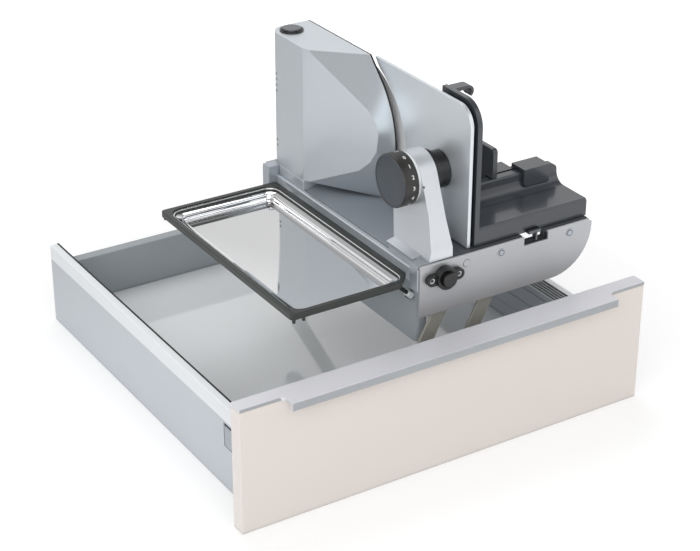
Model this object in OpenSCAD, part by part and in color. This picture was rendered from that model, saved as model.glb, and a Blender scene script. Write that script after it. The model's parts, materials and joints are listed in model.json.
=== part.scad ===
// Built-in food slicer on a lift, standing in a kitchen drawer
// X runs along the drawer front, Y runs back into the cabinet, Z is up.
// The origin is the middle of the whole object's footprint, on the surface it stands on.

/* [Drawer box] */
// Width of the front panel
front_w = 446; // [440:1:600]
// Height of the front panel
front_h = 125; // [110:1:160]
// Thickness of the front panel
front_t = 16; // [12:1:22]
// Length of a drawer side behind the front panel
side_len = 435; // [380:5:550]
// Height of a drawer side
side_h = 88; // [80:1:105]
// Thickness of a drawer side
side_t = 9.5; // [8:0.5:13]
// Distance from the end of the front panel to a drawer side
side_inset = 23.5; // [18:0.5:30]
// Height of the rail on top of a drawer side
rail_h = 16; // [10:1:24]
// Thickness of the floor board
floor_t = 16; // [12:1:19]
// Height of the floor board's underside
floor_z = 3.5; // [2:0.5:8]
// Thickness of the back panel
back_t = 12.5; // [10:0.5:16]
// Height of the back panel above the floor board
back_h = 49; // [40:1:60]

/* [Grip profile] */
// Thickness of the metal edge profile
cap_t = 3.5; // [2:0.5:5]
// Width of the grip
grip_w = 358; // [200:1:420]
// Reach of the grip in front of the panel
grip_reach = 15; // [12:0.5:25]
// Height of the grip's lip
lip_h = 8; // [6:0.5:14]
// Thickness of the grip's lip
lip_t = 2.5; // [1.5:0.5:4]
// Fillet where the grip leaves the edge profile
grip_fillet = 6; // [2:1:10]

/* [Lift] */
// Height from an arm's lower pivot to its upper pivot
arm_rise = 100; // [90:1:110]
// Sideways offset from an arm's lower pivot to its upper pivot
arm_lean = 52.5; // [40:0.5:60]
// Distance between the left and the right arm's pivots
pivot_dist = 53.5; // [48:0.5:60]
// Width of an arm
arm_w = 15; // [12:0.5:16]
// Thickness of an arm
arm_t = 3; // [2:0.5:4]
// Fillet that widens the arm below its upper pivot
arm_flare = 12; // [6:1:14]
// Height of the lower pivots above the floor board
low_pivot_h = 25.5; // [22:0.5:30]
// Radius of the pivot shafts and pins
pivot_r = 4; // [3:0.5:5]
// Thickness of the mounting plate
mount_t = 3; // [2:0.5:5]
// Thickness of the mounting plate's ears
ear_t = 4; // [3:0.5:5]
// Margin of metal round a lower pivot
ear_margin = 5; // [4:0.5:7]
// Reach of the mounting plate beyond the lower pivots
mount_reach = 24; // [16:1:34]
// Depth of the mounting plate
mount_d = 60; // [50:1:90]
// Reach of the rear bracket's plate beyond its pivot
rear_reach = 21; // [20:1:30]

/* [Base] */
// Width of the base
base_w = 199.5; // [190:0.5:220]
// Depth of the base over its side plates
base_d = 281; // [275:1:300]
// Height of the base's side plates
base_h = 52.5; // [48:0.5:60]
// Distance from the front panel's back to the base
base_setback = 29; // [20:1:40]
// Thickness of a side plate
plate_t = 2; // [1.5:0.5:3]
// Radius of a side plate's lower right corner
plate_r = 46; // [30:1:48]
// Radius of a side plate's rolled top edge
roll_r = 1.6; // [1.2:0.1:1.8]
// Thickness of the deck
deck_t = 3.5; // [2.5:0.5:5]
// Thickness of the ribs that carry the lift's upper pins
rib_t = 6; // [4:0.5:7]
// Height of the upper pivots above a side plate's lower edge
high_pivot_h = 10.7; // [9:0.1:13]
// Distance from the base's left end to the first upper pivot
pivot_x = 32.5; // [31:0.5:36]
// Width of an end block
block_w = 24; // [20:0.5:24.5]
// Depth of an end block
block_d = 13.3; // [12:0.1:15]
// Height of an end block
block_h = 26.5; // [24:0.5:30]
// Width of the lower housing under the base's left edge
lower_w = 14; // [10:0.5:14.5]
// Height of the lower housing
lower_h = 64; // [40:1:66]
// Width of the carriage rail
rail_w = 14; // [10:0.5:18]
// Height of the carriage rail over the deck
rail_rise = 3.2; // [2.5:0.1:4]

/* [Cutting unit] */
// Height of the motor housing above the deck
unit_h = 140; // [138:1:150]
// Distance from the base's left end to the housing's left face
unit_x = 8.8; // [8.5:0.1:9.5]
// Distance from the base's left end to the blade guard plate
guard_x = 55; // [54:0.1:55.5]
// Distance from the base's front to the housing's back
unit_back = 285; // [284:1:288]
// Radius of the housing's rounded back corner
unit_corner = 17; // [14:1:18]
// Wall of the motor housing
unit_wall = 2.5; // [2:0.5:3.5]
// Blade diameter
blade_d = 170; // [166:1:172]
// Distance from the base's front to the blade's axis
blade_y = 204; // [202:0.5:206]
// Height of the blade's axis above the deck
blade_z = 46; // [45:0.1:47]
// Width of the blade's ground edge
bevel_w = 8; // [4:0.5:10]
// Radius of the housing's rim beside the blade
rim_r = 89.5; // [86:0.5:91]
// Teeth of the drive gear
gear_teeth = 56; // [48:2:60]
// Teeth of the motor pinion
pinion_teeth = 14; // [13:1:16]
// Module of the gear teeth
gear_module = 1.25; // [1.1:0.05:1.3]
// Face width of the gears
gear_w = 7; // [5:0.5:8]
// Direction from the blade's axis to the motor's axis
motor_angle = 50; // [40:1:60]
// Radius of the motor case
motor_r = 21; // [18:0.5:22]

/* [Thickness setting] */
// Diameter of the thickness knob
knob_d = 51.5; // [46:0.5:54]
// Thickness of the knob
knob_t = 15.4; // [12:0.1:17]
// Distance from the base's front to the knob's axis
knob_y = 54; // [50:0.5:58]
// Height of the knob's axis above the deck
knob_z = 65; // [60:0.5:70]
// Slice thickness that the plate is set to, in millimetres
setting = 3; // [1:0.5:6]
// Largest slice thickness
max_setting = 14; // [10:1:14]
// Thickness of the stop plate
stop_t = 3.6; // [3:0.1:4]
// Height of the stop plate above the deck
stop_h = 139; // [130:1:142]
// Radius of the stop plate's top corner
stop_corner = 20; // [10:1:30]
// Thickness of the support arm
post_t = 17.7; // [16:0.1:18]

/* [Carriage] */
// Width of the carriage
carriage_w = 131.6; // [120:0.1:133]
// Height of the carriage's apron
apron_h = 17.5; // [15:0.5:20]
// Depth of the carriage's apron
apron_d = 36; // [30:1:40]
// Height of the ridge
ridge_h = 35.5; // [30:0.5:40]
// Thickness of the ridge
ridge_t = 11; // [8:0.5:12]
// Depth of the table behind the ridge
table_d = 78; // [60:1:90]
// Thickness of the carriage's walls
carriage_wall = 3; // [2:0.5:4]
// Width of the tall guard at the carriage's blade end
guard_w = 5.2; // [5:0.1:10]
// Height of the tall guard above the deck
guard_h = 142; // [134:1:148]
// Depth of the tall guard
guard_d = 58; // [50:1:60]
// Distance from the guard to the food pusher
pusher_gap = 49.7; // [20:0.1:60]
// Height of the food pusher above the deck
pusher_h = 67.6; // [50:0.1:80]
// Width of the block that rides on the ridge
rider_w = 30; // [24:1:34]

/* [Tray] */
// Width of the tray
tray_w = 131; // [110:1:134]
// Depth of the tray
tray_d = 252.5; // [220:0.5:254]
// Width of the tray's frame
tray_rim = 5.5; // [5:0.5:10]
// Height of the tray's frame
tray_frame_h = 6.5; // [5:0.5:9]
// Depth of the pan below the frame's top
pan_depth = 13.5; // [11:0.5:18]
// Thickness of the pan's sheet
pan_t = 0.8; // [0.6:0.1:1.2]
// Height from the tray's top up to the deck
tray_drop = 13.2; // [12:0.1:15]

/* [Hidden] */

$fn = 64;

// Overrun of every cut past the face it opens
cut = 1;
// Air between pieces that pass each other
air = 0.5;
// Radial clearance of a shaft that turns in its bore
run_fit = 0.05;
// Radial clearance of a shaft fixed in its bore
set_fit = 0.02;
// Radial clearance at the pivots that close the linkage
open_fit = 0.3;
// Gap between pieces that rest side by side
seat_gap = 0.3;
// Side play of an arm
arm_play = 1;

// Places of the drawer
total_d = grip_reach + front_t + side_len;
panel_y = -total_d / 2 + grip_reach;
panel_back = panel_y + front_t;
drawer_back = panel_back + side_len;
side_x = front_w / 2 - side_inset;
inner_x = side_x - side_t;
floor_top = floor_z + floor_t;

// Places of the lift and the base
low_z = floor_top + low_pivot_h;
high_z = low_z + arm_rise;
deck_z = high_z - high_pivot_h + base_h;
base_x = inner_x - base_w;
base_y = panel_back + base_setback;
low_x = base_x + pivot_x - arm_lean;
arm_len = norm([arm_lean, arm_rise]);
arm_angle = atan2(arm_rise, arm_lean);
arm_front = plate_t + arm_play;
rib_front = arm_front + arm_t + air;
link_z = -base_h + high_pivot_h;

// Rounded corners drawn with this many straight steps
corner_steps = 6;
// Radius of small moulded edges
edge_r = 1;

// Details of the drawer
rail_lip = 2;
groove_h = 1.6;
groove_depth = 0.8;
bracket_t = 2;
bracket_h = 22;
bracket_len = 58;
bracket_z = 45;
bracket_slot = 3;
bracket_sink = 0.4;
bracket_x = side_x - bracket_sink;
hook_w = 5;
screw_r = 4;
screw_t = 2;
screw_slot = 1.2;

// Details of the base
deck_margin = 3;
foot_x = 4.5;
foot_low = 24;
foot_ledge = 10;
foot_slab = 14;
deck_step = 64;
chute_back = 217.5;
slot_half = 74;
slot_x = 59.5;
slot_w = 9;
slot_low = 42;
skirt_h = 26;
notch_x = 119;
notch_w = 28;
notch_h = 9;
plug_x = 53;
plug_z = 9.3;
plug_r = 3.7;
screw_places = [92.5, 173];
screw_drop = 9;
release_x = 27;
release_z = -15.3;
release_r = 11;
release_ear = 15;
ear_r = 5.5;
ear_out = 5;
release_out = 8;
release_cut_r = 7.8;
release_button_r = 7.5;
release_proud = 4.3;
release_len = 8.1;
lower_round = 5;
rear_block_reach = 4.5;
plate_bite = 1;

// Details of the cutting unit
crease_y = 219;
kink_y = 211.4;
nose_y = 125.6;
nose_x = 36.5;
top_front_y = 170.6;
rim_y = 214;
rim_z = 57;
face_share = [[1, 1], [0.15, 0.708], [0.031, 0.627], [0, 0.54], [0.017, 0.424], [0.104, 0.329],
    [0.263, 0.235], [1, 0.008]];
rim_from = 138;
rim_to = 180 + asin(rim_z / rim_r);
rim_steps = 18;
blade_r = blade_d / 2;
guard_t = 2;
hub_hole_r = 12.5;
wrap_from = -28;
wrap_to = 58;
wrap_gap = 1.6;
wrap_t = 2.8;
blade_edge_x = 64.9;
blade_seat_x = 58.8;
blade_seat_r = 26;
blade_t = 1.2;
blade_hole_r = 8;
cap_r = 19;
cap_rise = 3.4;
vent_h = 2.6;
vent_step = 6;
vent_groups = [[78, 4], [19, 2]];
vent_depth = 16;
vent_len = 34;
button_r = 9.5;
ring_r = 12;
ring_low = 6;
ring_rise = 1.5;
button_rise = 3;
button_low = 4;
carrier_x = 36.5;
carrier_t = 3;
carrier_r = 42;
post_ring_r = 38.7;
post_r = 2.5;
post_angles = [150, 225, 290, 0];
spindle_r = 5;
spindle_reach = 61;
gear_x = 42.5;
gear_sleeve_r = 11.5;
hub_gap = 0.4;
hub_r = 24;
motor_x = 15;
motor_wall = 1.5;
motor_shaft_r = 2.5;
armature_r = 16;
armature_gap = 3;

// Details of the thickness setting
knob_x = 2.4;
knob_round = 1.5;
knob_dish = 0.8;
post_x = 21.3;
post_head_r = 24.5;
recess_r = 18.6;
recess_floor = 5;
boss_r = 18;
boss_back = 20;
shaft_r = 5;
shaft_len = 27;
boss_bore_r = 5.4;
collar_r = 24;
sleeve_r = 21.5;
sleeve_len = 6.5;
stop_front = 8;
stop_low = 0.7;
stop_cut_gap = 9.5;
stop_back = 167.4;
post_foot_x = 13.5;
post_foot_top = 42;
plinth_x = 4.6;
plinth_w = 37.4;
plinth_y = 17;
plinth_d = 45;
plinth_h = 2.5;
plinth_lip = 0.6;
// Front edge of the support arm, as shares of the knob axis' place
post_front_share = [[0.056, 0], [0.065, 0.154], [0.13, 0.257], [0.296, 0.538], [0.576, 1.137]];
post_rear_share = [[1.45, 0.954], [1.389, 0.615], [1.326, 0.392], [1.144, 0]];

// Details of the carriage
carriage_x = blade_edge_x + cut;
carriage_y = 7;
slide_gap = 0.7;
apron_bevel = 2;
cove_r = 12;
table_t = 4.5;
ridge_y = carriage_y + apron_d + cove_r;
cove_z = slide_gap + apron_h + cove_r;
ridge_bevel = 1.5;
rib_count = 3;
guard_corner = 24;
end_r = 6;
thumb_d = 12;
thumb_reach = 22.4;
thumb_t = 4;
thumb_r = 6;
thumb_curl = -60;
shoe_w = 27;
shoe_y = 14;
shoe_d = 48;
pusher_t = 5.5;
pusher_back = 72;
pusher_round = 4;
rider_lip = 4;
rider_hang = 14.2;
rider_round = 4;
rider_top = 3.5;
rider_front = 16;
rider_back = 5.5;
rider_x = 88.9;
link_low = 23;
link_t = 6.5;
link_top = 43;

// Details of the tray
tray_y = 5.5;
tray_corner = 4;
tray_chamfer = 15;
pan_corner = 13;
pan_step = 5.7;
pan_step_h = 2.2;
frame_ledge = 3;
foot_h = 4;
foot_step = 10;
foot_w = 2.6;
hook_r = 2;
hook_y = 9;
hook_back = 32;
hook_len = 22;
hook_angle = 42;
tip_r = 3.2;
tip_len = 8;
catch_t = 2;
hook_places = [hook_y + tray_chamfer, base_d - hook_back];
tip_x = unit_x - seat_gap - tip_r;
hook_z = -tray_drop - tray_frame_h - hook_r;
hook_x = tip_x - (hook_len + tip_r) * cos(hook_angle);
tip_z = hook_z - (hook_len + tip_r) * sin(hook_angle);

function arc(c, r, from, to, n = corner_steps) =
    [for (i = [0:n]) let (a = from + (to - from) * i / n) [c[0] + r * cos(a), c[1] + r * sin(a)]];

function round_box(lo, hi, r) = concat(
    arc([hi[0] - r, lo[1] + r], r, -90, 0), arc([hi[0] - r, hi[1] - r], r, 0, 90),
    arc([lo[0] + r, hi[1] - r], r, 90, 180), arc([lo[0] + r, lo[1] + r], r, 180, 270));

module x_cyl(from, to, r, y, z) translate([from, y, z]) rotate([0, 90, 0]) cylinder(h = to - from, r = r);
module y_cyl(from, to, r, x, z) translate([x, to, z]) rotate([90, 0, 0]) cylinder(h = to - from, r = r);
module z_cyl(from, to, r, x, y) translate([x, y, from]) cylinder(h = to - from, r = r);
module x_prism(from, to, points) translate([from, 0, 0]) rotate([90, 0, 90])
    linear_extrude(to - from) polygon(points);
module y_prism(from, to, points) translate([0, to, 0]) rotate([90, 0, 0])
    linear_extrude(to - from) polygon(points);
module z_prism(from, to, points) translate([0, 0, from]) linear_extrude(to - from) polygon(points);
module block(lo, hi) translate(lo) cube(hi - lo);
module in_base() translate([base_x, base_y, deck_z]) children();

// The drawer

module front_panel() {
    color("seashell")
    x_prism(-front_w / 2, front_w / 2, round_box([panel_y, 0], [panel_back, front_h], edge_r));
}

function grip_outline() = let (half = grip_w / 2, f = grip_fillet, y = panel_y) concat(
    [[-front_w / 2, panel_back], [-front_w / 2, y]],
    arc([-half - f, y - f], f, 90, 0), [[-half, y - grip_reach], [half, y - grip_reach]],
    arc([half + f, y - f], f, 180, 90), [[front_w / 2, y], [front_w / 2, panel_back]]);

module grip_profile() {
    lip_y = panel_y - grip_reach;
    color("silver") union() {
        z_prism(front_h, front_h + cap_t, grip_outline());
        block([-grip_w / 2, lip_y, front_h + cap_t - lip_h], [grip_w / 2, lip_y + lip_t, front_h + cut]);
    }
}

module drawer_side() {
    color("lightsteelblue") difference() {
        block([inner_x, panel_back, 0], [side_x, drawer_back, side_h - rail_h]);
        for (i = [1:3])
            block([inner_x - cut, panel_back - cut, floor_top + i * rail_h - groove_h],
                [inner_x + groove_depth, drawer_back + cut, floor_top + i * rail_h]);
        block([bracket_x - bracket_t - set_fit, panel_back - cut, bracket_z - set_fit],
            [side_x + cut, panel_back + bracket_len + seat_gap, bracket_z + bracket_h + bracket_slot]);
        block([bracket_x - hook_w - seat_gap, panel_back - cut, bracket_z - set_fit],
            [side_x + cut, panel_back + bracket_t + seat_gap, bracket_z + bracket_h + seat_gap]);
    }
}

module side_rail() {
    low = side_h - rail_h;
    color("white") y_prism(panel_back, drawer_back, [
        [side_x, low], [side_x, side_h - edge_r], [side_x - edge_r, side_h],
        [inner_x + rail_lip, side_h], [inner_x + rail_lip, side_h - groove_depth],
        [inner_x + groove_depth, side_h - groove_depth], [inner_x + groove_depth, side_h],
        [inner_x, side_h], [inner_x, low]]);
}

module side_left() mirror([1, 0, 0]) drawer_side();
module side_right() drawer_side();
module side_rail_left() mirror([1, 0, 0]) side_rail();
module side_rail_right() side_rail();

module back_panel() {
    color("slategray") x_prism(-inner_x, inner_x,
        round_box([drawer_back - back_t, floor_top], [drawer_back, floor_top + back_h], edge_r));
}

module floor_panel() {
    color("gainsboro") block([-inner_x, panel_back, floor_z], [inner_x, drawer_back, floor_top]);
}

module front_brackets() {
    color("darkgray") for (side = [-1, 1]) scale([side, 1, 1]) union() {
        block([bracket_x - bracket_t, panel_back, bracket_z], [bracket_x, panel_back + bracket_len,
            bracket_z + bracket_h]);
        block([bracket_x - hook_w, panel_back, bracket_z], [bracket_x, panel_back + bracket_t,
            bracket_z + bracket_h]);
    }
}

// The lift

function ear_outline(left, right) = let (r = ear_margin + pivot_r) concat(
    [[left - r, floor_top + mount_t / 2]], arc([left, low_z], r, 180, 90),
    arc([right, low_z], r, 90, 0), [[right + r, floor_top + mount_t / 2]]);

// A mounting plate with one ear: from and to are its front and its back edge
module ear_plate(left, right, reach, from, to, ear_y) {
    color("dimgray") difference() {
        union() {
            z_prism(floor_top, floor_top + mount_t, round_box([left - reach, from], [right + reach, to], edge_r));
            y_prism(ear_y, ear_y + ear_t, ear_outline(left, right));
        }
        for (x = [left, right]) y_cyl(ear_y - cut, ear_y + ear_t + cut, pivot_r + run_fit, x, low_z);
        for (p = mount_screw_places())
            z_cyl(floor_top - cut, floor_top + mount_t + cut, screw_r + set_fit, p[0], p[1]);
    }
}

front_ear_y = base_y + rib_front;
rear_ear_y = base_y + base_d - rib_front - ear_t;
right_x = low_x + pivot_dist;

module mount_plate() ear_plate(low_x, right_x, mount_reach, front_ear_y, front_ear_y + mount_d, front_ear_y);
module rear_bracket()
    ear_plate(right_x, right_x, rear_reach, rear_ear_y - rear_reach, rear_ear_y + ear_t, rear_ear_y);

function mount_screw_places() = let (edge = mount_reach / 2, side = rear_reach / 2 + screw_t) concat(
    [for (x = [low_x - edge, right_x + edge], y = [edge, mount_d - edge]) [x, front_ear_y + y]],
    [for (x = [right_x - side, right_x + side]) [x, rear_ear_y - rear_reach / 2]]);

module mount_screws() {
    color("silver") for (p = mount_screw_places()) difference() {
        z_cyl(floor_top, floor_top + mount_t + screw_t, screw_r, p[0], p[1]);
        block([p[0] - screw_r, p[1] - screw_slot / 2, floor_top + mount_t + screw_slot],
            [p[0] + screw_r, p[1] + screw_slot / 2, floor_top + mount_t + screw_t + cut]);
    }
}

// Outline of an arm along its own length, wider on one side below the upper pivot
function arm_outline() = let (h = arm_w / 2, f = arm_flare, start = arm_len - edge_r) concat(
    arc([0, 0], h, 90, 270), arc([start - f, -h - f], f, 90, 0), [[arm_len, -h - f]],
    [[arm_len + h, -h]], arc([arm_len, 0], h, 0, 90));

module arm(side, y, top_fit) {
    x = low_x + side * pivot_dist;
    color("gray") translate([x, y + arm_t, low_z]) rotate([90, -arm_angle, 0]) difference() {
        linear_extrude(arm_t) polygon(arm_outline());
        translate([0, 0, -cut]) cylinder(h = arm_t + 2 * cut, r = pivot_r + set_fit);
        translate([arm_len, 0, -cut]) cylinder(h = arm_t + 2 * cut, r = pivot_r + top_fit);
    }
}

module arm_front_left() arm(0, base_y + arm_front, run_fit);
module arm_front_right() arm(1, base_y + arm_front, open_fit);
module arm_rear_right() arm(1, base_y + base_d - arm_front - arm_t, open_fit);

module front_pin(x) y_cyl(base_y + arm_front, front_ear_y + ear_t, pivot_r, x, low_z);
module pivot_pin_left() color("silver") front_pin(low_x);
module pivot_pins_right() {
    color("silver") union() {
        front_pin(right_x);
        y_cyl(rear_ear_y, base_y + base_d - arm_front, pivot_r, right_x, low_z);
    }
}

module link_pins() {
    color("silver") in_base() union() {
        for (x = [pivot_x, pivot_x + pivot_dist]) y_cyl(plate_t, rib_front + rib_t, pivot_r, x, link_z);
        y_cyl(base_d - rib_front - rib_t, base_d - plate_t, pivot_r, pivot_x + pivot_dist, link_z);
    }
}

// The base

module deck() {
    right = base_w - deck_margin;
    front = 2 * roll_r + seat_gap;
    z_prism(-deck_t, 0, [[block_w, front], [right, front], [right, base_d - front],
        [guard_x, base_d - front], [guard_x, deck_step], [block_w, deck_step]]);
}

module rib(y) {
    left = block_w + air;
    right = base_w - plate_r / 2;
    low = -base_h + deck_margin;
    y_prism(y, y + rib_t, [[left, low], [right, low], [base_w - deck_margin, low + plate_r / 2],
        [base_w - deck_margin, -deck_t / 2], [left, -deck_t / 2]]);
}

module base_frame() {
    right = base_w - deck_margin;
    color("darkslategray") in_base() difference() {
        union() {
            deck();
            rib(rib_front);
            rib(base_d - rib_front - rib_t);
            block([right - deck_t, rib_front, -skirt_h], [right, base_d - rib_front, -deck_t / 2]);
        }
        y_cyl(plate_t, rib_front + rib_t + cut, pivot_r + set_fit, pivot_x, link_z);
        y_cyl(plate_t, base_d - plate_t, pivot_r + set_fit, pivot_x + pivot_dist, link_z);
        block([slot_x, blade_y - slot_half, -slot_low], [slot_x + slot_w, blade_y + slot_half, cut]);
        block([notch_x, 0, -notch_h], [notch_x + notch_w, rib_front + rib_t + cut, cut]);
    }
}

// Outline of a side plate: square at the left, with a large radius at the lower right
function side_plate_outline() = let (left = plate_bite, roll = roll_r) concat(
    [[left, -base_h], [base_w - plate_r, -base_h]],
    arc([base_w - plate_r, -base_h + plate_r], plate_r, -90, 0, 2 * corner_steps),
    [[base_w, -2 * roll], [base_w - 2 * roll, -roll], [left, -roll]]);

module side_plate(notched) {
    color("darkgray") difference() {
        union() {
            y_prism(0, plate_t, side_plate_outline());
            x_cyl(plate_bite, base_w - 2 * roll_r, roll_r, roll_r, -roll_r);
        }
        if (notched) block([notch_x, -cut, -notch_h], [notch_x + notch_w, 2 * roll_r + cut, cut]);
        for (x = screw_places) y_cyl(-cut, plate_t + cut, screw_r + set_fit, x, -screw_drop);
        if (notched) y_cyl(-cut, plate_t + cut, plug_r + seat_gap, plug_x, -plug_z);
    }
}

module front_side_plate() in_base() side_plate(true);
module rear_side_plate() in_base() translate([0, base_d, 0]) mirror([0, 1, 0]) side_plate(false);

module end_block(reach) {
    color("silver") difference() {
        z_prism(-block_h, 0, round_box([-reach, plate_t], [block_w - air, plate_t + block_d], edge_r));
        block([-reach - cut, plate_t - cut, -2 * roll_r - set_fit], [block_w, 2 * roll_r + set_fit, cut]);
    }
}

module end_block_front() in_base() end_block(air);
module end_block_rear() in_base() translate([0, base_d, 0]) mirror([0, 1, 0]) end_block(rear_block_reach);

module foot_rail() {
    right = unit_x + lower_w;
    front = plate_t + block_d;
    color("lightgray") in_base() union() {
        y_prism(front, base_d - front, [[foot_x, -foot_low], [right, -foot_low], [right, -foot_slab],
            [foot_ledge, -foot_slab], [foot_ledge, -foot_ledge - edge_r], [foot_ledge - edge_r, -foot_ledge],
            [foot_x + edge_r, -foot_ledge], [foot_x, -foot_ledge - edge_r]]);
        block([unit_x, front, -foot_slab - cut], [block_w - seat_gap, deck_step, 0]);
    }
}

module slice_chute() {
    color("slategray") in_base() y_prism(deck_step, chute_back, [
        [foot_ledge, -foot_slab], [foot_ledge, -foot_ledge], [guard_x, 0], [guard_x, -deck_t],
        [unit_x + lower_w + deck_t, -foot_slab]]);
}

module housing_foot() {
    color("silver") in_base() y_prism(chute_back, base_d - plate_t - block_d, [
        [unit_x - edge_r, -foot_ledge], [foot_ledge, -foot_ledge], [foot_ledge, -foot_slab],
        [guard_x, -foot_slab], [guard_x, 0], [unit_x - edge_r, 0]]);
}

module lower_housing() {
    catch_z = tip_z - tip_r - seat_gap;
    color("lightgray") in_base() union() {
        z_prism(-foot_low - lower_h, -foot_low, round_box(
            [unit_x, plate_t + block_d + edge_r],
            [unit_x + lower_w, base_d - plate_t - block_d - edge_r], lower_round));
        for (y = hook_places) block([tip_x - tip_r, y - tip_len / 2 - air, catch_z - catch_t],
            [unit_x + cut, y + tip_len / 2 + air, catch_z]);
    }
}

module carriage_rail() {
    x = notch_x + notch_w / 2;
    color("gainsboro") in_base() union() {
        block([x - rail_w / 2, plate_t, 0], [x + rail_w / 2, base_d - plate_t, rail_rise]);
        block([x, plate_t - screw_slot, -notch_h + screw_t], [x + screw_t, rib_front, cut]);
    }
}

module side_plate_screws() {
    color("silver") in_base() for (x = screw_places, back = [0, 1])
        translate([0, back * base_d, 0]) mirror([0, back, 0]) difference() {
            y_cyl(-screw_slot / 2, rib_front, screw_r, x, -screw_drop);
            y_cyl(-cut, screw_slot, screw_r / 2, x, -screw_drop);
        }
}

module plate_plug() {
    color("gray") in_base() y_cyl(-screw_slot / 3, rib_front, plug_r, plug_x, -plug_z);
}

module release_housing() {
    ears = [release_x - release_ear, release_x + release_ear];
    color("black") in_base() difference() {
        union() {
            y_cyl(-release_out, 0, release_r, release_x, release_z);
            block([ears[0], -ear_out, release_z - ear_r], [ears[1], 0, release_z + ear_r]);
            for (x = ears) y_cyl(-ear_out, 0, ear_r, x, release_z);
        }
        y_cyl(-release_out - cut, -air, release_cut_r, release_x, release_z);
        for (x = ears) y_cyl(-ear_out - cut, -air, screw_r - screw_slot + set_fit, x, release_z);
    }
}

module release_screws() {
    color("silver") in_base() for (side = [-1, 1]) difference() {
        y_cyl(-ear_out + screw_slot, -air, screw_r - screw_slot, release_x + side * release_ear, release_z);
        y_cyl(-ear_out, -ear_out + 2 * screw_slot, screw_slot, release_x + side * release_ear, release_z);
    }
}

module release_button() {
    color("black") in_base() translate([release_x, -release_out - release_proud, release_z])
        rotate([-90, 0, 0]) rotate_extrude() polygon(concat([[0, release_len], [0, 0]],
            arc([release_button_r - edge_r, edge_r], edge_r, -90, 0), [[release_button_r, release_len]]));
}

// The motor housing: a moulded form that tapers from the rounded back column to the blade guard's rim

taper = (nose_x - unit_x) / (crease_y - nose_y);
function face_x(y) = unit_x + max(0, crease_y - y) * taper;
function face_points() = [for (s = face_share) let (y = nose_y + s[0] * (kink_y - nose_y))
    [face_x(y), y, s[1] * unit_h]];
function rim_outline(inset) = concat(
    arc([rim_y, rim_z], rim_r - inset, rim_from, rim_to, rim_steps),
    [[unit_back - inset, inset], [unit_back - inset, unit_h - inset], [top_front_y + inset, unit_h - inset]]);
function toward(p, c, d) = p + d * (c - p) / norm(c - p);

module housing_form(inset) {
    centre = [guard_x, blade_y, unit_h / 2];
    hull() {
        x_prism(guard_x - edge_r, guard_x, rim_outline(inset));
        z_cyl(inset, unit_h - inset, unit_corner - inset, unit_x + unit_corner, unit_back - unit_corner,
            $fn = 32);
        for (p = face_points()) translate(toward(p, centre, inset + edge_r)) sphere(r = edge_r, $fn = 8);
        for (z = [inset, unit_h - inset]) translate([unit_x + inset, crease_y, min(z, unit_h - edge_r)])
            cube(edge_r);
    }
}

module motor_housing() {
    x = unit_x + unit_corner;
    y = unit_back - unit_corner;
    color("silver") in_base() difference() {
        housing_form(0);
        housing_form(unit_wall);
        block([guard_x - edge_r - cut, rim_y - rim_r / 2, unit_wall],
            [guard_x + cut, unit_back - unit_wall, unit_h - unit_wall - unit_corner]);
        z_cyl(unit_h - unit_corner, unit_h + cut, ring_r + set_fit, x, y);
        for (g = vent_groups, i = [0:g[1] - 1])
            block([unit_x - cut, unit_back - vent_depth, g[0] + i * vent_step],
                [unit_x + vent_len, unit_back + cut, g[0] + i * vent_step + vent_h]);
    }
}

module blade_guard() {
    c = [blade_y, blade_z];
    out_r = blade_r + wrap_gap + wrap_t;
    color("gray") in_base() difference() {
        union() {
            x_prism(guard_x, guard_x + guard_t, rim_outline(0));
            x_prism(guard_x, guard_x + guard_t, concat([c], arc(c, out_r, wrap_from, wrap_to, rim_steps)));
            x_prism(guard_x, blade_edge_x, concat(arc(c, out_r, wrap_from, wrap_to, rim_steps),
                arc(c, out_r - wrap_t, wrap_to, wrap_from, rim_steps)));
        }
        x_cyl(guard_x - cut, guard_x + guard_t + cut, hub_hole_r, blade_y, blade_z);
    }
}

// The drive

pitch_r = gear_teeth * gear_module / 2;
pinion_r = pinion_teeth * gear_module / 2;
motor_y = blade_y + (pitch_r + pinion_r) * cos(motor_angle);
motor_z = blade_z + (pitch_r + pinion_r) * sin(motor_angle);
pressure = 20;
addendum_share = 0.8;
dedendum_share = 1.15;
backlash_share = 0.08;
flank_steps = 3;

function involute(a) = tan(a) * 180 / PI - a;
function half_tooth(r, pitch, teeth) = let (base = pitch * cos(pressure))
    90 / teeth * (1 - backlash_share) + involute(pressure) - involute(acos(min(1, base / r)));
function gear_outline(teeth, turn) = let (
    pitch = teeth * gear_module / 2,
    root = pitch - dedendum_share * gear_module,
    tip = pitch + addendum_share * gear_module,
    low = max(root, pitch * cos(pressure)),
    radii = [for (i = [0:flank_steps]) low + (tip - low) * i / flank_steps])
    [for (t = [0:teeth - 1]) let (mid = turn + 360 * t / teeth) each concat(
        [polar(root, mid - half_tooth(low, pitch, teeth))],
        [for (r = radii) polar(r, mid - half_tooth(r, pitch, teeth))],
        [for (i = [flank_steps:-1:0]) polar(radii[i], mid + half_tooth(radii[i], pitch, teeth))],
        [polar(root, mid + half_tooth(low, pitch, teeth))])];
function polar(r, a) = [r * cos(a), r * sin(a)];
function shifted(points, d) = [for (p = points) p + d];

module gear_carrier() {
    back = carrier_x + carrier_t;
    color("gray") in_base() difference() {
        union() {
            x_cyl(carrier_x, back, carrier_r, blade_y, blade_z);
            x_cyl(carrier_x, back, motor_r + carrier_t, motor_y, motor_z);
            for (a = post_angles) x_cyl(carrier_x, guard_x, post_r,
                blade_y + post_ring_r * cos(a), blade_z + post_ring_r * sin(a));
            x_cyl(back - cut, spindle_reach, spindle_r, blade_y, blade_z);
        }
        x_cyl(carrier_x - cut, back + cut, motor_shaft_r + air, motor_y, motor_z);
    }
}

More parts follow.
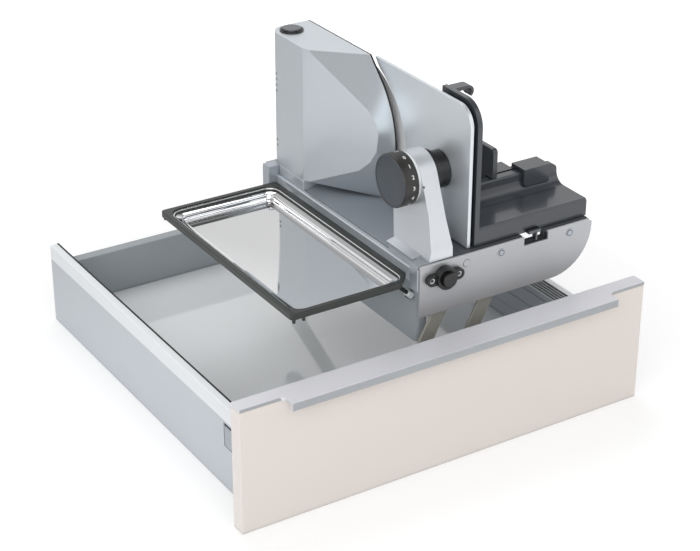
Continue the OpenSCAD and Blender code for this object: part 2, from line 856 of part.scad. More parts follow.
module motor_case() {
    color("silver") in_base() difference() {
        x_cyl(motor_x, carrier_x, motor_r, motor_y, motor_z);
        x_cyl(motor_x + motor_wall, carrier_x - motor_wall, motor_r - motor_wall, motor_y, motor_z);
        x_cyl(motor_x + motor_wall / 2, carrier_x + cut, motor_shaft_r + run_fit, motor_y, motor_z);
    }
}

module motor_rotor() {
    color("orange") in_base() union() {
        x_cyl(motor_x + motor_wall / 2 + run_fit, gear_x + gear_w, motor_shaft_r, motor_y, motor_z);
        x_cyl(motor_x + armature_gap, carrier_x - armature_gap, armature_r, motor_y, motor_z);
        x_prism(gear_x, gear_x + gear_w, shifted(
            gear_outline(pinion_teeth, motor_angle + 180 + 180 / pinion_teeth), [motor_y, motor_z]));
    }
}

module drive_gear() {
    color("ivory") in_base() difference() {
        union() {
            x_prism(gear_x, gear_x + gear_w,
                shifted(gear_outline(gear_teeth, motor_angle), [blade_y, blade_z]));
            x_cyl(carrier_x + carrier_t + air, guard_x + guard_t + hub_gap, gear_sleeve_r, blade_y, blade_z);
        }
        x_cyl(carrier_x, guard_x + guard_t + cut, spindle_r + run_fit, blade_y, blade_z);
    }
}

module blade_hub() {
    color("black") in_base() difference() {
        x_cyl(guard_x + guard_t + hub_gap, blade_seat_x, hub_r, blade_y, blade_z);
        x_cyl(guard_x, blade_seat_x + cut, spindle_r + run_fit, blade_y, blade_z);
    }
}

// Half section of the dished blade: radius, then distance along the axis from the seat
function blade_section() = let (edge = blade_edge_x - blade_seat_x, inner = blade_r - bevel_w)
    let (slope = (edge - blade_t) / (blade_r - blade_seat_r)) [
        [blade_hole_r, 0], [blade_seat_r, 0], [inner, slope * (inner - blade_seat_r) - blade_t / 6],
        [blade_r, edge - blade_t / 8], [blade_r, edge], [blade_seat_r, blade_t], [blade_hole_r, blade_t]];

module blade() {
    color("white") in_base() translate([blade_seat_x, blade_y, blade_z]) rotate([0, 90, 0])
        rotate_extrude($fn = 120) polygon(blade_section());
}

module blade_cap() {
    face = blade_seat_x + blade_t;
    color("dimgray") in_base() difference() {
        x_cyl(face, face + cap_rise, cap_r, blade_y, blade_z);
        block([face + cap_rise - screw_slot, blade_y - cap_r / 2, blade_z - screw_slot],
            [face + cap_rise + cut, blade_y + cap_r / 2, blade_z + screw_slot]);
        x_cyl(blade_seat_x, face + screw_slot, spindle_r + air, blade_y, blade_z);
    }
}

// The thickness setting

function post_outline() = let (k = [knob_y, knob_z]) concat(
    [for (s = post_rear_share) [s[0] * k[0], s[1] * k[1]]],
    [for (s = post_front_share) [s[0] * k[0], s[1] * k[1]]]);

module support_arm() {
    color("lightgray") in_base() difference() {
        union() {
            x_prism(post_x, post_x + post_t, post_outline());
            x_cyl(post_x, post_x + post_t, post_head_r, knob_y, knob_z);
            intersection() {
                x_prism(post_foot_x, post_x + cut, post_outline());
                y_prism(0, 2 * knob_y, [[post_foot_x, 0], [post_foot_x, plinth_h],
                    [post_x + cut, post_foot_top], [post_x + cut, 0]]);
            }
            y_prism(plinth_y, plinth_y + plinth_d, [[plinth_x, 0], [plinth_x, plinth_lip],
                [post_foot_x, plinth_h], [plinth_x + plinth_w, plinth_h], [plinth_x + plinth_w, 0]]);
        }
        x_cyl(post_x + recess_floor, post_x + post_t + cut, recess_r, knob_y, knob_z);
        x_cyl(post_x - cut, post_x + post_t, shaft_r + run_fit, knob_y, knob_z);
    }
}

module spindle_sleeve() {
    color("silver") in_base() difference() {
        x_cyl(post_x + post_t, post_x + post_t + sleeve_len, sleeve_r, knob_y, knob_z);
        x_cyl(post_x, post_x + post_t + sleeve_len + cut, recess_r, knob_y, knob_z);
    }
}

module knob_collar() {
    color("white") in_base() difference() {
        x_cyl(knob_x + knob_t + set_fit, post_x, collar_r, knob_y, knob_z);
        x_cyl(knob_x, post_x + cut, shaft_r + run_fit, knob_y, knob_z);
    }
}

module thickness_knob() {
    r = knob_d / 2;
    color("dimgray") in_base() translate([knob_x, knob_y, knob_z]) rotate([0, 90, 0])
        rotate_extrude($fn = 96) polygon(concat(
            [[0, shaft_len + knob_t], [0, knob_dish], [r - 3 * knob_round, knob_dish],
                [r - 2 * knob_round, 0]],
            arc([r - knob_round, knob_round], knob_round, -90, 0),
            [[r, knob_t], [shaft_r, knob_t], [shaft_r, shaft_len + knob_t]]));
}

stop_x = blade_edge_x + air / 2 - setting - stop_t;

// Outline before the round cut-out, with its back edge along the housing's straight rim
function stop_outline() = let (low = rim_z + rim_r * sin(rim_from)) concat(
    [[stop_front, stop_low]],
    arc([stop_front + stop_corner, stop_h - stop_corner], stop_corner, 180, 90, 2 * corner_steps),
    [[stop_back, stop_h], [stop_back - (stop_h - low) / tan(rim_from - 90), low],
        [blade_y, blade_z], [blade_y, stop_low]]);

module stop_plate() {
    color("gainsboro") in_base() difference() {
        x_prism(stop_x, stop_x + stop_t, stop_outline());
        x_cyl(stop_x - cut, stop_x + stop_t + cut, blade_r + stop_cut_gap, blade_y, blade_z, $fn = 128);
    }
}

module stop_slider() {
    color("black") in_base() difference() {
        x_cyl(stop_x - boss_back, stop_x, boss_r, knob_y, knob_z);
        x_cyl(stop_x - boss_back - cut, stop_x - air, boss_bore_r, knob_y, knob_z);
    }
}

module button_ring() {
    color("black") in_base() difference() {
        z_cyl(unit_h - ring_low, unit_h + ring_rise, ring_r, unit_x + unit_corner, unit_back - unit_corner);
        z_cyl(unit_h - ring_low - cut, unit_h + ring_rise + cut, button_r + open_fit,
            unit_x + unit_corner, unit_back - unit_corner);
    }
}

module power_button() {
    color("dimgray") in_base() translate([unit_x + unit_corner, unit_back - unit_corner, unit_h - button_low])
        rotate_extrude() polygon(concat([[0, 0], [button_r, 0]],
            arc([button_r - edge_r, button_low + button_rise - edge_r], edge_r, 0, 90),
            [[0, button_low + button_rise]]));
}

// The carriage

function carriage_section() = let (y = carriage_y, top = slide_gap + apron_h, back = ridge_y + ridge_t)
    concat(
        [[y, slide_gap], [y, top - apron_bevel], [y + apron_bevel, top]],
        arc([y + apron_d, cove_z], cove_r, -90, 0),
        [[ridge_y, ridge_h], [ridge_y + ridge_bevel, ridge_h + ridge_bevel],
            [back - ridge_bevel, ridge_h + ridge_bevel], [back, ridge_h],
            [back, slide_gap + table_t], [back + table_d, slide_gap + table_t],
            [back + table_d, slide_gap]]);

function guard_outline() = let (y = carriage_y) concat(
    [[y, slide_gap]], arc([y + guard_corner, guard_h - guard_corner], guard_corner, 180, 90,
        2 * corner_steps), [[y + guard_d, guard_h], [y + guard_d, slide_gap]]);

module carriage() {
    x = carriage_x;
    pocket_w = (carriage_w - carriage_wall) / rib_count - carriage_wall;
    rail_x = notch_x + notch_w / 2;
    color("#3c4046") in_base() difference() {
        union() {
            x_prism(x, x + carriage_w, carriage_section());
            x_prism(x, x + guard_w, guard_outline());
        }
        for (i = [0:rib_count - 1])
            block([x + carriage_wall + i * (pocket_w + carriage_wall), carriage_y + carriage_wall,
                slide_gap - cut],
                [x + (i + 1) * (pocket_w + carriage_wall), carriage_y + apron_d + carriage_wall,
                slide_gap + apron_h - carriage_wall]);
        block([rail_x - rail_w / 2 - air, 0, 0],
            [rail_x + rail_w / 2 + air, ridge_y + ridge_t + table_d + cut, rail_rise + air]);
        y_prism(ridge_y - cut, ridge_y + ridge_t + cut, concat(
            [[x + carriage_w + cut, ridge_h - end_r], [x + carriage_w + cut, ridge_h + 2 * end_r],
                [x + carriage_w - end_r, ridge_h + 2 * end_r]],
            arc([x + carriage_w - end_r, ridge_h + ridge_bevel - end_r], end_r, 90, 0)));
    }
}

module thumb_grip() {
    x = carriage_x + guard_w;
    top = guard_h - edge_r;
    centre = [x + thumb_reach - thumb_r, top - thumb_r];
    color("black") in_base() y_prism(carriage_y + guard_d - thumb_d, carriage_y + guard_d, concat(
        [[x, top - thumb_t], [x, top]], arc(centre, thumb_r, 90, thumb_curl, 2 * corner_steps),
        arc(centre, thumb_r - thumb_t + edge_r, thumb_curl, 90, 2 * corner_steps)));
}

module carriage_shoe() {
    x = notch_x + notch_w / 2;
    y = ridge_y + ridge_t - shoe_d / 2;
    color("ivory") in_base() difference() {
        block([x - shoe_w / 2, y + shoe_d / 2 + carriage_wall, slide_gap / 2],
            [x + shoe_w / 2, y + shoe_d, slide_gap]);
        block([x - rail_w / 2 - run_fit, y, 0], [x + rail_w / 2 + run_fit, y + shoe_d + cut, cut]);
    }
}

pusher_x = carriage_x + guard_w + pusher_gap;

function pusher_outline() = let (back = ridge_y + ridge_t) concat(
    [[back + 2 * air, slide_gap + table_t + air],
        [back + pusher_back, slide_gap + table_t + air]],
    arc([back + pusher_back - pusher_round, pusher_h - pusher_round], pusher_round, 0, 90),
    arc([ridge_y + pusher_round + edge_r, pusher_h - pusher_round], pusher_round, 90, 180),
    [[ridge_y + edge_r, ridge_h + ridge_bevel + air], [back + 2 * air, ridge_h + ridge_bevel + air]]);

module food_pusher() {
    color("#2c2f33") in_base() x_prism(pusher_x, pusher_x + pusher_t, pusher_outline());
}

module pusher_rider() {
    left = carriage_x + rider_x;
    reach = left - pusher_x - pusher_t;
    low = ridge_h + ridge_bevel - rider_front;
    front = ridge_y - air;
    back = ridge_y + ridge_t;
    top = ridge_h + ridge_bevel + air;
    color("#44484d") in_base() translate([left, 0, 0]) union() {
        x_prism(0, rider_w, [[front, top], [front - rider_lip, top], [front - rider_lip, top + rider_top],
            [back + rider_back, top + rider_top], [back + rider_back, low], [back + air, low], [back + air, top]]);
        difference() {
            y_prism(front - rider_lip, front, concat(
                arc([rider_round, top - rider_hang + rider_round], rider_round, 180, 270),
                [[rider_w, top - rider_hang], [rider_w, top + rider_top / 2], [0, top + rider_top / 2]]));
            x_prism(-cut, rider_w + cut, concat(
                arc([carriage_y + apron_d, cove_z], cove_r - 2 * air, -90, 0, 2 * corner_steps),
                [[ridge_y + cut, cove_z], [ridge_y + cut, slide_gap + apron_h]]));
        }
        block([-reach, back + air, low], [cut, back + rider_back, top]);
    }
}

// The tray

tray_x = -air - seat_gap - tray_w;

function tray_outline(inset) = let (lo = [tray_x + inset, tray_y + inset],
    hi = [tray_x + tray_w - inset, tray_y + tray_d - inset], r = tray_corner, c = tray_chamfer - inset)
    concat([[hi[0] - c, lo[1]], [hi[0], lo[1] + c]], arc([hi[0] - r, hi[1] - r], r, 0, 90),
        arc([lo[0] + r, hi[1] - r], r, 90, 180), arc([lo[0] + r, lo[1] + r], r, 180, 270));

function pan_outline(inset) = round_box([tray_x + tray_rim + inset, tray_y + tray_rim + inset],
    [tray_x + tray_w - tray_rim - inset, tray_y + tray_d - tray_rim - inset],
    max(pan_corner - inset, edge_r));

module tray_frame() {
    top = -tray_drop;
    color("#444845") in_base() difference() {
        z_prism(top - tray_frame_h, top, tray_outline(0));
        z_prism(top - tray_frame_h - cut, top + cut, pan_outline(frame_ledge));
        z_prism(top - pan_step_h, top + cut, pan_outline(0));
    }
}

module tray_pan() {
    top = -tray_drop;
    step = frame_ledge + pan_step;
    color("white") in_base() difference() {
        union() {
            z_prism(top - pan_step_h, top - pan_step_h + pan_t, pan_outline(set_fit));
            z_prism(top - 2 * pan_step_h - pan_t, top - pan_step_h + pan_t / 2, pan_outline(frame_ledge + set_fit));
            z_prism(top - pan_depth - pan_t, top - pan_step_h, pan_outline(step));
        }
        z_prism(top - 2 * pan_step_h, top + cut, pan_outline(frame_ledge + pan_t));
        z_prism(top - pan_depth, top + cut, pan_outline(step + pan_t));
    }
}

module tray_feet() {
    low = -tray_drop - tray_frame_h;
    color("#333333") in_base() for (x = [tray_x + foot_w, tray_x + foot_w + foot_step],
            y = [tray_y + edge_r, tray_y + tray_d - foot_w - edge_r])
        block([x, y, low - foot_h], [x + foot_w, y + foot_w, low]);
}

module tray_hooks() {
    color("#333333") in_base() for (y = hook_places)
        translate([hook_x, y, hook_z]) rotate([0, 90 + hook_angle, 0]) cylinder(h = hook_len, r = hook_r);
}

module tray_hook_tips() {
    color("white") in_base() for (y = hook_places)
        y_cyl(y - tip_len / 2, y + tip_len / 2, tip_r, tip_x, tip_z);
}

front_panel();
grip_profile();
side_left();
side_right();
side_rail_left();
side_rail_right();
back_panel();
floor_panel();
front_brackets();
mount_plate();
rear_bracket();
mount_screws();
arm_front_left();
pivot_pin_left();
arm_front_right();
arm_rear_right();
pivot_pins_right();
link_pins();
base_frame();
front_side_plate();
rear_side_plate();
end_block_front();
end_block_rear();
foot_rail();
slice_chute();
housing_foot();
lower_housing();
carriage_rail();
side_plate_screws();
plate_plug();
release_housing();
release_screws();
release_button();
motor_housing();
blade_guard();
gear_carrier();
motor_case();
motor_rotor();
drive_gear();
blade_hub();
blade();
blade_cap();
support_arm();
spindle_sleeve();
knob_collar();
thickness_knob();
stop_plate();
stop_slider();
button_ring();
power_button();
carriage();
thumb_grip();
carriage_shoe();
food_pusher();
pusher_rider();
tray_pan();
tray_frame();
tray_feet();
tray_hooks();
tray_hook_tips();
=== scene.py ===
"""Finishes and modelled pieces of a built-in food slicer that stands in its kitchen drawer."""

import json
import logging
import math
from dataclasses import dataclass
from enum import Enum
from typing import ClassVar, Iterable, Sequence

import bmesh
import bpy
from mathutils import Matrix, Vector

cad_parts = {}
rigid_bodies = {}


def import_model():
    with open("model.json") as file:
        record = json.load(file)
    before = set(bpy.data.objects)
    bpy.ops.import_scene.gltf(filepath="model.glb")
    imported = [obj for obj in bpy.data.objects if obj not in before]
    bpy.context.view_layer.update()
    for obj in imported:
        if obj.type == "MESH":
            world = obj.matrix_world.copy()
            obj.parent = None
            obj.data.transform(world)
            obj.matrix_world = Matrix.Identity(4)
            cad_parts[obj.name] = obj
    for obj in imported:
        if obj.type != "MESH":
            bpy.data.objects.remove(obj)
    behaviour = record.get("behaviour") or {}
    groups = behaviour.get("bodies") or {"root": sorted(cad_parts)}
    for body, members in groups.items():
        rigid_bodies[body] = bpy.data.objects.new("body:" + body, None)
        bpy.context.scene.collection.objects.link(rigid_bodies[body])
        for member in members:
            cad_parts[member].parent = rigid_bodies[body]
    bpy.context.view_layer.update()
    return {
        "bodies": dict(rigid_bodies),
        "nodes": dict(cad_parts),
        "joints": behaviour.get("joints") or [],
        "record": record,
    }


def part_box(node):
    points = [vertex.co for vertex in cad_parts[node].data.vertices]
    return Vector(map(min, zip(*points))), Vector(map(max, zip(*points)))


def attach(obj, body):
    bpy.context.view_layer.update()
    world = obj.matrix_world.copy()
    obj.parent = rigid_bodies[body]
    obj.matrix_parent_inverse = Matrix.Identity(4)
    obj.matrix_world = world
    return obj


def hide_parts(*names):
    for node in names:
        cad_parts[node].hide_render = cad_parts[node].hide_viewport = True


LOG = logging.getLogger("slicer")
MM = 0.001
# Points closer together than this are one point
WELD = 0.001 * MM
# Faces that meet at less than this angle lie in one plane
FLAT_DEG = 0.4
# Edges that turn by this angle or more stay sharp in the shading
CREASE_DEG = 35.0
# A face looks along an axis where its normal has more than this share of it
FACING = 0.9
Point = tuple[float, float, float]
Colour = tuple[float, float, float, float]
# Values of a Map Range node's inputs, by their names
Span = dict[str, float]


def linear(hex_colour: str) -> Colour:
    """Turn an sRGB hex colour into linear RGBA.

    Args:
        hex_colour: Six hex digits with a leading hash sign.

    Returns:
        The colour in linear light, with full alpha.
    """
    shares = [int(hex_colour[i : i + 2], 16) / 255 for i in (1, 3, 5)]
    lit = [s / 12.92 if s <= 0.04045 else ((s + 0.055) / 1.055) ** 2.4 for s in shares]
    return (*lit, 1.0)


def add_node(tree: bpy.types.NodeTree, kind: str, settings: dict | None = None,
             inputs: dict | None = None) -> bpy.types.Node:
    """Add one node to a tree, with its settings and its inputs set or linked.

    Args:
        tree: The node tree that gets the node.
        kind: The node's type name.
        settings: Values of the node's own properties.
        inputs: A value, or a socket to link from, for each input by name or number.

    Returns:
        The new node.
    """
    node = tree.nodes.new(kind)
    for name, value in (settings or {}).items():
        setattr(node, name, value)
    for name, value in (inputs or {}).items():
        if isinstance(value, bpy.types.NodeSocket):
            tree.links.new(value, node.inputs[name])
        else:
            node.inputs[name].default_value = value
    return node


def put_in_scene(name: str, data: bpy.types.ID) -> bpy.types.Object:
    """Make an object from its data and link it to the scene.

    Args:
        name: The object's name.
        data: Its mesh, curve, lamp or camera.

    Returns:
        The object, at the origin.
    """
    made = bpy.data.objects.new(name, data)
    bpy.context.scene.collection.objects.link(made)
    return made


class Grain(Enum):
    """How a fine pattern is drawn out along X, Y and Z."""

    ALONG_X = (0.02, 1.0, 1.0)
    EVEN = (1.0, 1.0, 1.0)


class Edge(Enum):
    """Width of a rounded edge in millimetres, named for how sharp it was left."""

    CUT = 0.2
    CRISP = 0.3
    DRAWN = 0.35
    BROKEN = 0.4
    EASED = 0.5
    MOULDED = 0.6
    SOFT = 0.7
    FULL = 0.8
    LACQUERED = 0.9
    ROUNDED = 2.2


@dataclass(frozen=True)
class Finish:
    """One surface finish: what its material is, and how its surface was made.

    Attributes:
        name: The material's name.
        colour: Main colour, as sRGB hex.
        shade: Second colour of the fine pattern, as sRGB hex.
        metallic: 1 for bare metal, 0 for plastic or lacquer.
        roughness: Mean roughness.
        grain_mm: Size of the fine pattern.
        grain: Direction of the pattern.
        grain_depth_mm: Height of the relief.
        roughness_swing: Change of roughness over the pattern.
        cloud_mm: Size of the slow change of shade.
        cloud: Strength of that slow change, 0 to 1.
        coat: Weight of a clear coat.
        ior: Index of refraction, or None to keep the default, as metals do.
        contact: Strength of the painted shade that darkens the colour deep in joints and creases, 0 to 1.
        contact_mm: How far out of a joint that painted shade reaches.
    """

    name: str
    colour: str
    shade: str
    metallic: float = 0.0
    roughness: float = 0.4
    grain_mm: float = 0.5
    grain: Grain = Grain.EVEN
    grain_depth_mm: float = 0.01
    roughness_swing: float = 0.06
    cloud_mm: float = 60.0
    cloud: float = 0.15
    coat: float = 0.0
    ior: float | None = 1.5
    contact: float = 0.55
    contact_mm: float = 9.0

    # The middle stretch of a noise, which is spread over the whole pattern
    SPREAD: ClassVar[Span] = {"From Min": 0.3, "From Max": 0.7}
    # Share of the second colour that the fine pattern brings
    FINE_SHARE: ClassVar[float] = 0.5
    # Open share of a spot's surroundings, from deep in a joint to out of it, over which the painted shade
    # fades out
    OPENING: ClassVar[Span] = {"From Min": 0.1, "From Max": 0.7}
    COAT_ROUGHNESS: ClassVar[float] = 0.08

    def build(self) -> bpy.types.Material:
        """Build the material once, and give it back after that.

        Returns:
            The node material.
        """
        known = bpy.data.materials.get(self.name)
        if known:
            return known
        made = bpy.data.materials.new(self.name)
        made.use_nodes = True
        tree = made.node_tree
        tree.nodes.clear()
        place = add_node(tree, "ShaderNodeTexCoord").outputs["Object"]
        turned = add_node(tree, "ShaderNodeMapping", None, {"Vector": place, "Scale": self.grain.value})
        fine = add_node(tree, "ShaderNodeTexNoise", None, {
            "Vector": turned.outputs["Vector"], "Scale": 1 / (self.grain_mm * MM),
            "Detail": 3.0, "Roughness": 0.55})
        slow = add_node(tree, "ShaderNodeTexNoise", None, {
            "Vector": place, "Scale": 1 / (self.cloud_mm * MM), "Detail": 2.0})
        fine_share = add_node(tree, "ShaderNodeMapRange", None, {
            "Value": fine.outputs["Fac"], "To Max": self.FINE_SHARE, **self.SPREAD})
        slow_share = add_node(tree, "ShaderNodeMapRange", None, {
            "Value": slow.outputs["Fac"], "To Max": self.cloud, **self.SPREAD})
        both = add_node(tree, "ShaderNodeMath", {"operation": "ADD", "use_clamp": True}, {
            0: fine_share.outputs["Result"], 1: slow_share.outputs["Result"]})
        tint = add_node(tree, "ShaderNodeMix", {"data_type": "RGBA"}, {
            "Factor": both.outputs["Value"], "A": linear(self.colour), "B": linear(self.shade)})
        # Painted shade: an ambient occlusion node darkens the colour in joints, creases and under parts
        closed = add_node(tree, "ShaderNodeAmbientOcclusion", {"samples": 4}, {
            "Distance": self.contact_mm * MM})
        painted_shade_share = add_node(tree, "ShaderNodeMapRange", None, {
            "Value": closed.outputs["AO"], "To Min": 1.0 - self.contact, **self.OPENING})
        tint_under_painted_shade = add_node(tree, "ShaderNodeMix", {"data_type": "RGBA", "blend_type": "MULTIPLY"}, {
            "Factor": 1.0, "A": tint.outputs["Result"], "B": painted_shade_share.outputs["Result"]})
        rough = add_node(tree, "ShaderNodeMapRange", None, {
            "Value": fine.outputs["Fac"], "To Min": self.roughness - self.roughness_swing,
            "To Max": self.roughness + self.roughness_swing})
        relief = add_node(tree, "ShaderNodeBump", None, {
            "Height": fine.outputs["Fac"], "Distance": self.grain_depth_mm * MM, "Strength": 1.0})
        shader = add_node(tree, "ShaderNodeBsdfPrincipled", None, {
            "Base Color": tint_under_painted_shade.outputs["Result"], "Roughness": rough.outputs["Result"],
            "Normal": relief.outputs["Normal"], "Metallic": self.metallic, "Coat Weight": self.coat,
            "Coat Roughness": self.COAT_ROUGHNESS})
        if self.ior:
            shader.inputs["IOR"].default_value = self.ior
        self.refine(tree, shader, place)
        add_node(tree, "ShaderNodeOutputMaterial", None, {"Surface": shader.outputs["BSDF"]})
        made.diffuse_color = linear(self.colour)
        return made

    def refine(self, tree: bpy.types.NodeTree, shader: bpy.types.Node, place: bpy.types.NodeSocket) -> None:
        """Add what only one kind of finish has. The plain finish adds nothing."""


@dataclass(frozen=True)
class MetallicLacquer(Finish):
    """Silver lacquer with aluminium flakes under a clear coat: fine sparkle, soft broad highlights."""

    FLAKE_MM: ClassVar[float] = 0.45
    FLAKE_RISE_MM: ClassVar[float] = 0.006

    def refine(self, tree: bpy.types.NodeTree, shader: bpy.types.Node, place: bpy.types.NodeSocket) -> None:
        """Tilt single flakes, drawn coarser than real ones so that they show.

        Args:
            tree: The material's tree.
            shader: The surface shader.
            place: Object coordinates.
        """
        flakes = add_node(tree, "ShaderNodeTexVoronoi", None, {
            "Vector": place, "Scale": 1 / (self.FLAKE_MM * MM)})
        tilt = add_node(tree, "ShaderNodeBump", None, {
            "Height": flakes.outputs["Distance"], "Distance": self.FLAKE_RISE_MM * MM, "Strength": 0.6})
        tree.links.new(tilt.outputs["Normal"], shader.inputs["Normal"])


@dataclass(frozen=True)
class MirrorSteel(Finish):
    """Polished stainless sheet: a true mirror with a few soft smudges."""

    SMUDGES_PER_M: ClassVar[float] = 28.0
    HAZE: ClassVar[float] = 0.05

    def refine(self, tree: bpy.types.NodeTree, shader: bpy.types.Node, place: bpy.types.NodeSocket) -> None:
        """Raise the roughness a little in soft smudges.

        Args:
            tree: The material's tree.
            shader: The surface shader.
            place: Object coordinates.
        """
        smudge = add_node(tree, "ShaderNodeTexNoise", None, {
            "Vector": place, "Scale": self.SMUDGES_PER_M, "Detail": 4.0})
        dull = add_node(tree, "ShaderNodeMapRange", None, {
            "Value": smudge.outputs["Fac"], "From Min": 0.45, "From Max": 0.75,
            "To Min": self.roughness, "To Max": self.roughness + self.HAZE})
        tree.links.new(dull.outputs["Result"], shader.inputs["Roughness"])


@dataclass(frozen=True)
class Finishes:
    """Every finish on the slicer and its drawer."""

    # High-gloss lacquer on board: a deep even cream under a hard clear coat
    front_lacquer: Finish = Finish("cream_gloss_lacquer", "#E3DBD5", "#DED5CE", 0, 0.16, 0.9,
                                   grain_depth_mm=0.002, roughness_swing=0.03, coat=0.5, cloud=0.1)
    # Anodised aluminium, drawn along its length: satin with long faint lines
    profile: Finish = Finish("anodised_profile_aluminium", "#DADADF", "#D2D2D7", 0.35, 0.42, 0.3,
                             Grain.ALONG_X, 0.006, 0.05, cloud=0.1, ior=None)
    # The lip's front face, brushed along its length; its darker colour than the top is painted shade on the
    # side that faces forward
    lip: Finish = Finish("lip_aluminium_painted_shade", "#A4A7AA", "#94979B", 0.6, 0.36, 0.3,
                         Grain.ALONG_X, 0.008, 0.06, cloud=0.2, ior=None)
    # Powder coat on sheet steel: fine orange peel, silver grey
    drawer_side: Finish = Finish("silver_powder_coat", "#C3C8CE", "#B8BEC5", 0.15, 0.36, 0.8,
                                 grain_depth_mm=0.012, cloud=0.2)
    # White mouldings, such as the cover strips: smooth and slightly glossy
    rail_white: Finish = Finish("white_moulded_strip", "#EDF0F2", "#E2E6E9", 0, 0.3, 0.6,
                                grain_depth_mm=0.004)
    # Rubber lip, and the painted shadow in a screw's recess: black and matte
    seal_black: Finish = Finish("black_seal_rubber_and_painted_shade", "#17181A", "#222326", 0, 0.6, 0.4, grain_depth_mm=0.02)
    # Laminate with a lacquered face: pale grey, and it mirrors what stands on it
    floor_board: Finish = Finish("pale_grey_laminate", "#E6E9EB", "#DEE2E5", 0, 0.06, 0.7,
                                 grain_depth_mm=0.001, roughness_swing=0.02, coat=0.9, cloud=0.12,
                                 contact=0.25)
    # Laminated back panel: darker grey with a satin face
    back_board: Finish = Finish("slate_grey_laminate", "#9EA5A8", "#949B9F", 0, 0.35, 0.7,
                                grain_depth_mm=0.005, cloud=0.2)
    # Zinc-plated sheet: cool grey with a soft gleam
    bracket: Finish = Finish("zinc_plated_sheet", "#A4AAB0", "#8B9198", 0.8, 0.38, 1.2,
                             grain_depth_mm=0.008, cloud=0.3, ior=None)
    # Stove-enamelled steel of the lift: olive grey and satin
    lift_coat: Finish = Finish("olive_grey_coated_steel", "#9C9B93", "#918F88", 0.25, 0.42, 0.7,
                               grain_depth_mm=0.01, cloud=0.2)
    # Ground and plated steel of pins and screws: bright
    bright_steel: Finish = Finish("bright_plated_steel", "#D4D6D9", "#BCC0C4", 1.0, 0.22, 0.5,
                                  grain_depth_mm=0.004, cloud=0.1, ior=None)
    # Grey powder coat on the base frame: dull and even
    base_dark: Finish = Finish("grey_coated_metal", "#5C5F63", "#54575B", 0.25, 0.42, 0.6,
                               grain_depth_mm=0.01)
    # Hardened rail for the carriage: burnished dark steel
    rail_dark: Finish = Finish("burnished_rail_steel", "#6A6D71", "#5B5E62", 0.9, 0.3, 0.4,
                               grain_depth_mm=0.005, ior=None)
    # Glass-beaded and anodised aluminium: a fine silky grey
    side_plate: Finish = Finish("bead_blasted_aluminium", "#B9BABD", "#ABADB0", 0.6, 0.4, 0.35,
                                grain_depth_mm=0.008, cloud=0.12, ior=None)
    # Satin anodised aluminium end blocks: cool grey, no lines
    block: Finish = Finish("satin_anodised_aluminium", "#B4BAC1", "#A8AEB5", 0.55, 0.38, 0.4,
                           grain_depth_mm=0.006, cloud=0.12, ior=None)
    # The ledges beside the chute and under the housing: the same aluminium, smoother, and painted lighter as
    # painted light where they sit in shade
    ledge: Finish = Finish("ledge_aluminium_painted_light", "#CDD3D9", "#C1C7CD", 0.5, 0.3, 0.4,
                           grain_depth_mm=0.004, cloud=0.12, ior=None)
    # Injection-moulded grey plastic of the recessed chute: even and satin
    chute: Finish = Finish("grey_moulded_chute", "#8A9199", "#818890", 0.1, 0.34, 0.5, grain_depth_mm=0.012)
    # Silver metallic lacquer on the housing: fine sparkle, and facets that part light from shade
    housing: Finish = MetallicLacquer("silver_metallic_lacquer", "#CFD5DA", "#C2C9CF", 0.74, 0.4, 0.5,
                                      grain_depth_mm=0.004, cloud=0.1, coat=0.25)
    # Smooth light grey moulding that hangs under the base: soft gleam, no grain
    lower_box: Finish = Finish("light_grey_moulding", "#A9B1B6", "#9DA5AA", 0.1, 0.36, 0.6,
                               grain_depth_mm=0.008)
    # Fine-grained black moulding of the carriage: dark, with a broad pale gleam
    black_plastic: Finish = Finish("grained_black_plastic", "#3D4147", "#35393E", 0, 0.24, 0.35,
                                   grain_depth_mm=0.008, cloud=0.2, coat=0.3)
    # Polished black plastic of the release unit and the small bushes: deep black with a soft gleam
    black_satin: Finish = Finish("satin_black_plastic", "#0E0F10", "#151617", 0, 0.28, 0.5,
                                 grain_depth_mm=0.006)
    # Soft-touch face of the knob: slate and matte
    knob_face: Finish = Finish("slate_soft_touch", "#4A5057", "#444A50", 0, 0.5, 0.4, grain_depth_mm=0.015)
    # Rim of the knob, from the same plastic: near black
    knob_rim: Finish = Finish("dark_knob_rim", "#2A2826", "#232120", 0, 0.4, 0.4, grain_depth_mm=0.012)
    # Pad-printed figures: flat white ink
    print_white: Finish = Finish("white_pad_print", "#F2F2EF", "#E8E8E4", 0, 0.45, 0.3, grain_depth_mm=0.002)
    # Natural acetal gear: creamy and waxy
    gear: Finish = Finish("natural_acetal", "#E4DECB", "#DAD3BE", 0, 0.4, 0.5, grain_depth_mm=0.006)
    # Plated motor can and rotor: bright grey with fine lines along the shaft
    motor: Finish = Finish("plated_motor_can", "#A9ABAE", "#96989B", 0.9, 0.35, 0.5, Grain.ALONG_X,
                           0.006, 0.05, ior=None)
    # Silver lacquer on the knob's arm: the same coat, laid thicker, so paler and smoother
    arm: Finish = MetallicLacquer("pale_metallic_lacquer", "#D8DBDF", "#CDD1D6", 0.6, 0.34, 0.5,
                                  grain_depth_mm=0.004, cloud=0.1, coat=0.2)
    # Black enamel on the guard plate behind the blade: deep and glossy
    guard: Finish = Finish("black_enamelled_plate", "#08090A", "#101113", 0, 0.3, 0.6, grain_depth_mm=0.004)
    # Ground ring of the blade: matte; its plain white, kept free of painted shade, is a painted highlight
    # that stands for the bright steel, so that it stays paler than the disc
    ground_edge: Finish = Finish("ground_blade_edge_painted_highlight", "#FAFBFC", "#F0F2F4", 0.0, 0.4, 0.4,
                                 grain_depth_mm=0.003, ior=None, contact=0.0)
